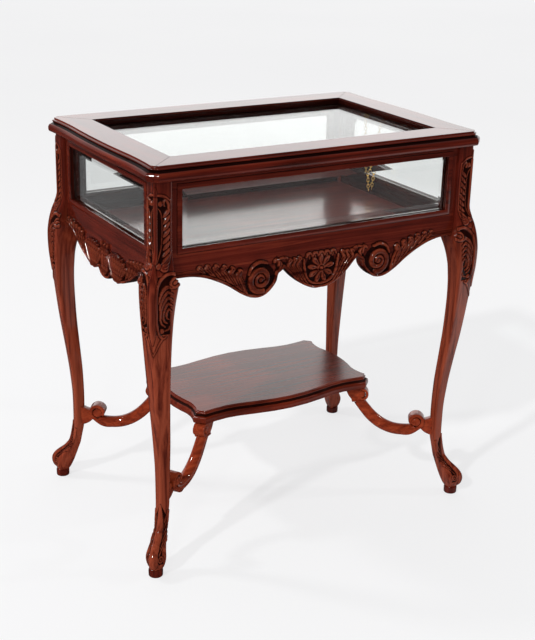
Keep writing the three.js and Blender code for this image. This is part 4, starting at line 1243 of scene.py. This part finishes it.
def set_world():
    """A room that is white behind the table and dark in front of it, most of all in its polish."""
    world = bpy.data.worlds.new("studio")
    bpy.context.scene.world = world
    world.use_nodes = True
    tree = world.node_tree
    tree.nodes.clear()
    path = add_node(tree, "ShaderNodeLightPath")
    seen = add_node(tree, "ShaderNodeMath", {"operation": "MAXIMUM"},
                    i0=path.outputs["Is Camera Ray"], i1=path.outputs["Is Transmission Ray"])
    toward = add_node(tree, "ShaderNodeTexCoord").outputs["Generated"]
    parts = add_node(tree, "ShaderNodeSeparateXYZ", Vector=toward)
    level = add_node(tree, "ShaderNodeValToRGB", {"stops": ((0.0, 0.3), (0.35, 0.6), (0.9, 0.9))},
                     Fac=parts.outputs["Y"])
    aside = add_node(tree, "ShaderNodeVectorMath", {"operation": "DOT_PRODUCT"}, i0=toward,
                     i1=(0.5, 0.86, 0.0))
    mirrored = add_node(tree, "ShaderNodeValToRGB", {"stops": ((0.0, 0.02), (0.5, 0.12), (0.85, 0.9))},
                        Fac=aside.outputs["Value"])
    room = add_node(tree, "ShaderNodeMix", {"data_type": "RGBA"}, i0=path.outputs["Is Glossy Ray"],
                    i6=level, i7=mirrored)
    lit = add_node(tree, "ShaderNodeBackground", Color=room.outputs[2], Strength=1.0)
    # Seen straight, the room is as bright as the far end of the floor, so no horizon shows
    white = add_node(tree, "ShaderNodeBackground", Color=linear("#ffffff"), Strength=0.865)
    mixed = add_node(tree, "ShaderNodeMixShader", i0=seen, i1=lit, i2=white)
    add_node(tree, "ShaderNodeOutputWorld", Surface=mixed)


def add_lamp(data, place, direction, power):
    data.energy = power
    lamp = bpy.data.objects.new(data.name, data)
    lamp.location = place
    lamp.rotation_euler = direction.to_track_quat("-Z", "Y").to_euler()
    bpy.context.scene.collection.objects.link(lamp)
    return lamp


def area_lamp(name, place, aim, size, power):
    data = bpy.data.lights.new(name, "AREA")
    data.shape = "RECTANGLE"
    data.size, data.size_y = size
    return add_lamp(data, place, Vector(aim) - Vector(place), power)


def set_lamps():
    """A wide lamp behind, three small ones round the table, and a low sun for the floor's shadows."""
    area_lamp("lamp_backdrop", (6.6, 14.0, 4.2), (0, 0, 0.7), (13.0, 6.5), 235)
    area_lamp("lamp_key", (-1.9, 1.3, 2.6), (0, 0, 0.5), (0.35, 0.35), 28)
    front = area_lamp("lamp_front", (-1.7, -1.9, 1.7), (-0.3, -0.2, 0.6), (0.3, 0.3), 9)
    # Its square would stand mirrored in the raised lid's glass
    front.visible_glossy = False
    area_lamp("lamp_spark", (2.5, -1.1, 2.0), (0, 0, 0.5), (0.16, 0.16), 13)
    sun = bpy.data.lights.new("sun_level", "SUN")
    sun.angle = math.radians(3)
    add_lamp(sun, (0, 0, 0), Vector((0.72, 0.30, -0.62)), 1.4)


class TABLE_OT_stage(bpy.types.Operator):
    """Sets the camera at the photograph's angle, the pale floor, the room and the lamps"""
    bl_idname = "display_table.stage"
    bl_label = "Stage"

    def execute(self, context):
        set_camera()
        set_floor()
        set_world()
        set_lamps()
        return {"FINISHED"}


# Panel and registration

def panel_length(name, description, default, low, high):
    """A length that the panel shows."""
    return bpy.props.FloatProperty(name=name, description=f"{description}, in millimetres",
                                   default=default, min=low, max=high)


def panel_colour(name, description, code):
    """A colour that the panel shows."""
    return bpy.props.FloatVectorProperty(name=name, description=description, subtype="COLOR", size=3,
                                         min=0, max=1, default=linear(code)[:3])


class TableSizes(bpy.types.PropertyGroup):
    carving_depth: panel_length("Carving depth", "How far the legs' ribs stand up", DRAWN_DEPTH, 0.5, 6)
    link_wire: panel_length("Link wire", "Thickness of the wire of the chain's links", 1.5, 0.5, 2)
    link_pitch: panel_length("Link pitch", "Distance from one link of the chain to the next", 6.6, 2, 10)
    link_radius: panel_length("Link radius", "Half width of a link at the middle of its wire", 2.5, 1, 4)
    bevel_width: panel_length("Bevel width", "Width of the bevel seen round each window", 14, 4, 25)
    strip_width: panel_length("Window strip width", "Width of the strip round each window", 9.5, 4, 14)
    edge_softness: panel_length("Edge softness", "Width of the softened edges of the joinery", 0.5, 0.2, 1.5)


class TableColours(bpy.types.PropertyGroup):
    wood_dark: panel_colour("Wood, dark streaks", "Colour of the stained wood's dark streaks", "#2e0d08")
    wood_middle: panel_colour("Wood, ground", "Main colour of the stained wood", "#591a10")
    wood_light: panel_colour("Wood, light streaks", "Colour of the stained wood's light streaks", "#7d311f")
    brass: panel_colour("Brass", "Colour of the bright brass of the hinges and eyes", "#c9a45c")


STEPS = (TABLE_OT_legs, TABLE_OT_feet, TABLE_OT_aprons, TABLE_OT_joinery, TABLE_OT_window_strips,
         TABLE_OT_stretchers, TABLE_OT_panes, TABLE_OT_chain, TABLE_OT_brass, TABLE_OT_stage)


class TABLE_PT_panel(bpy.types.Panel):
    """Lists the steps that model the display table"""
    bl_label = "Display Table"
    bl_space_type = "VIEW_3D"
    bl_region_type = "UI"
    bl_category = "Display Table"

    def draw(self, context):
        for group in (context.scene.table_sizes, context.scene.table_colours):
            for name in group.__annotations__:
                self.layout.prop(group, name)
        for step in STEPS:
            self.layout.operator(step.bl_idname)


CLASSES = (TableSizes, TableColours, *STEPS, TABLE_PT_panel)


def register():
    for kind in CLASSES:
        bpy.utils.register_class(kind)
    bpy.types.Scene.table_sizes = bpy.props.PointerProperty(type=TableSizes)
    bpy.types.Scene.table_colours = bpy.props.PointerProperty(type=TableColours)


def unregister():
    del bpy.types.Scene.table_colours
    del bpy.types.Scene.table_sizes
    for kind in reversed(CLASSES):
        bpy.utils.unregister_class(kind)


def main():
    register()
    bpy.context.scene.view_settings.view_transform = "Standard"
    for step in STEPS:
        group, name = step.bl_idname.split(".")
        getattr(getattr(bpy.ops, group), name)()


if __name__ == "__main__":
    main()
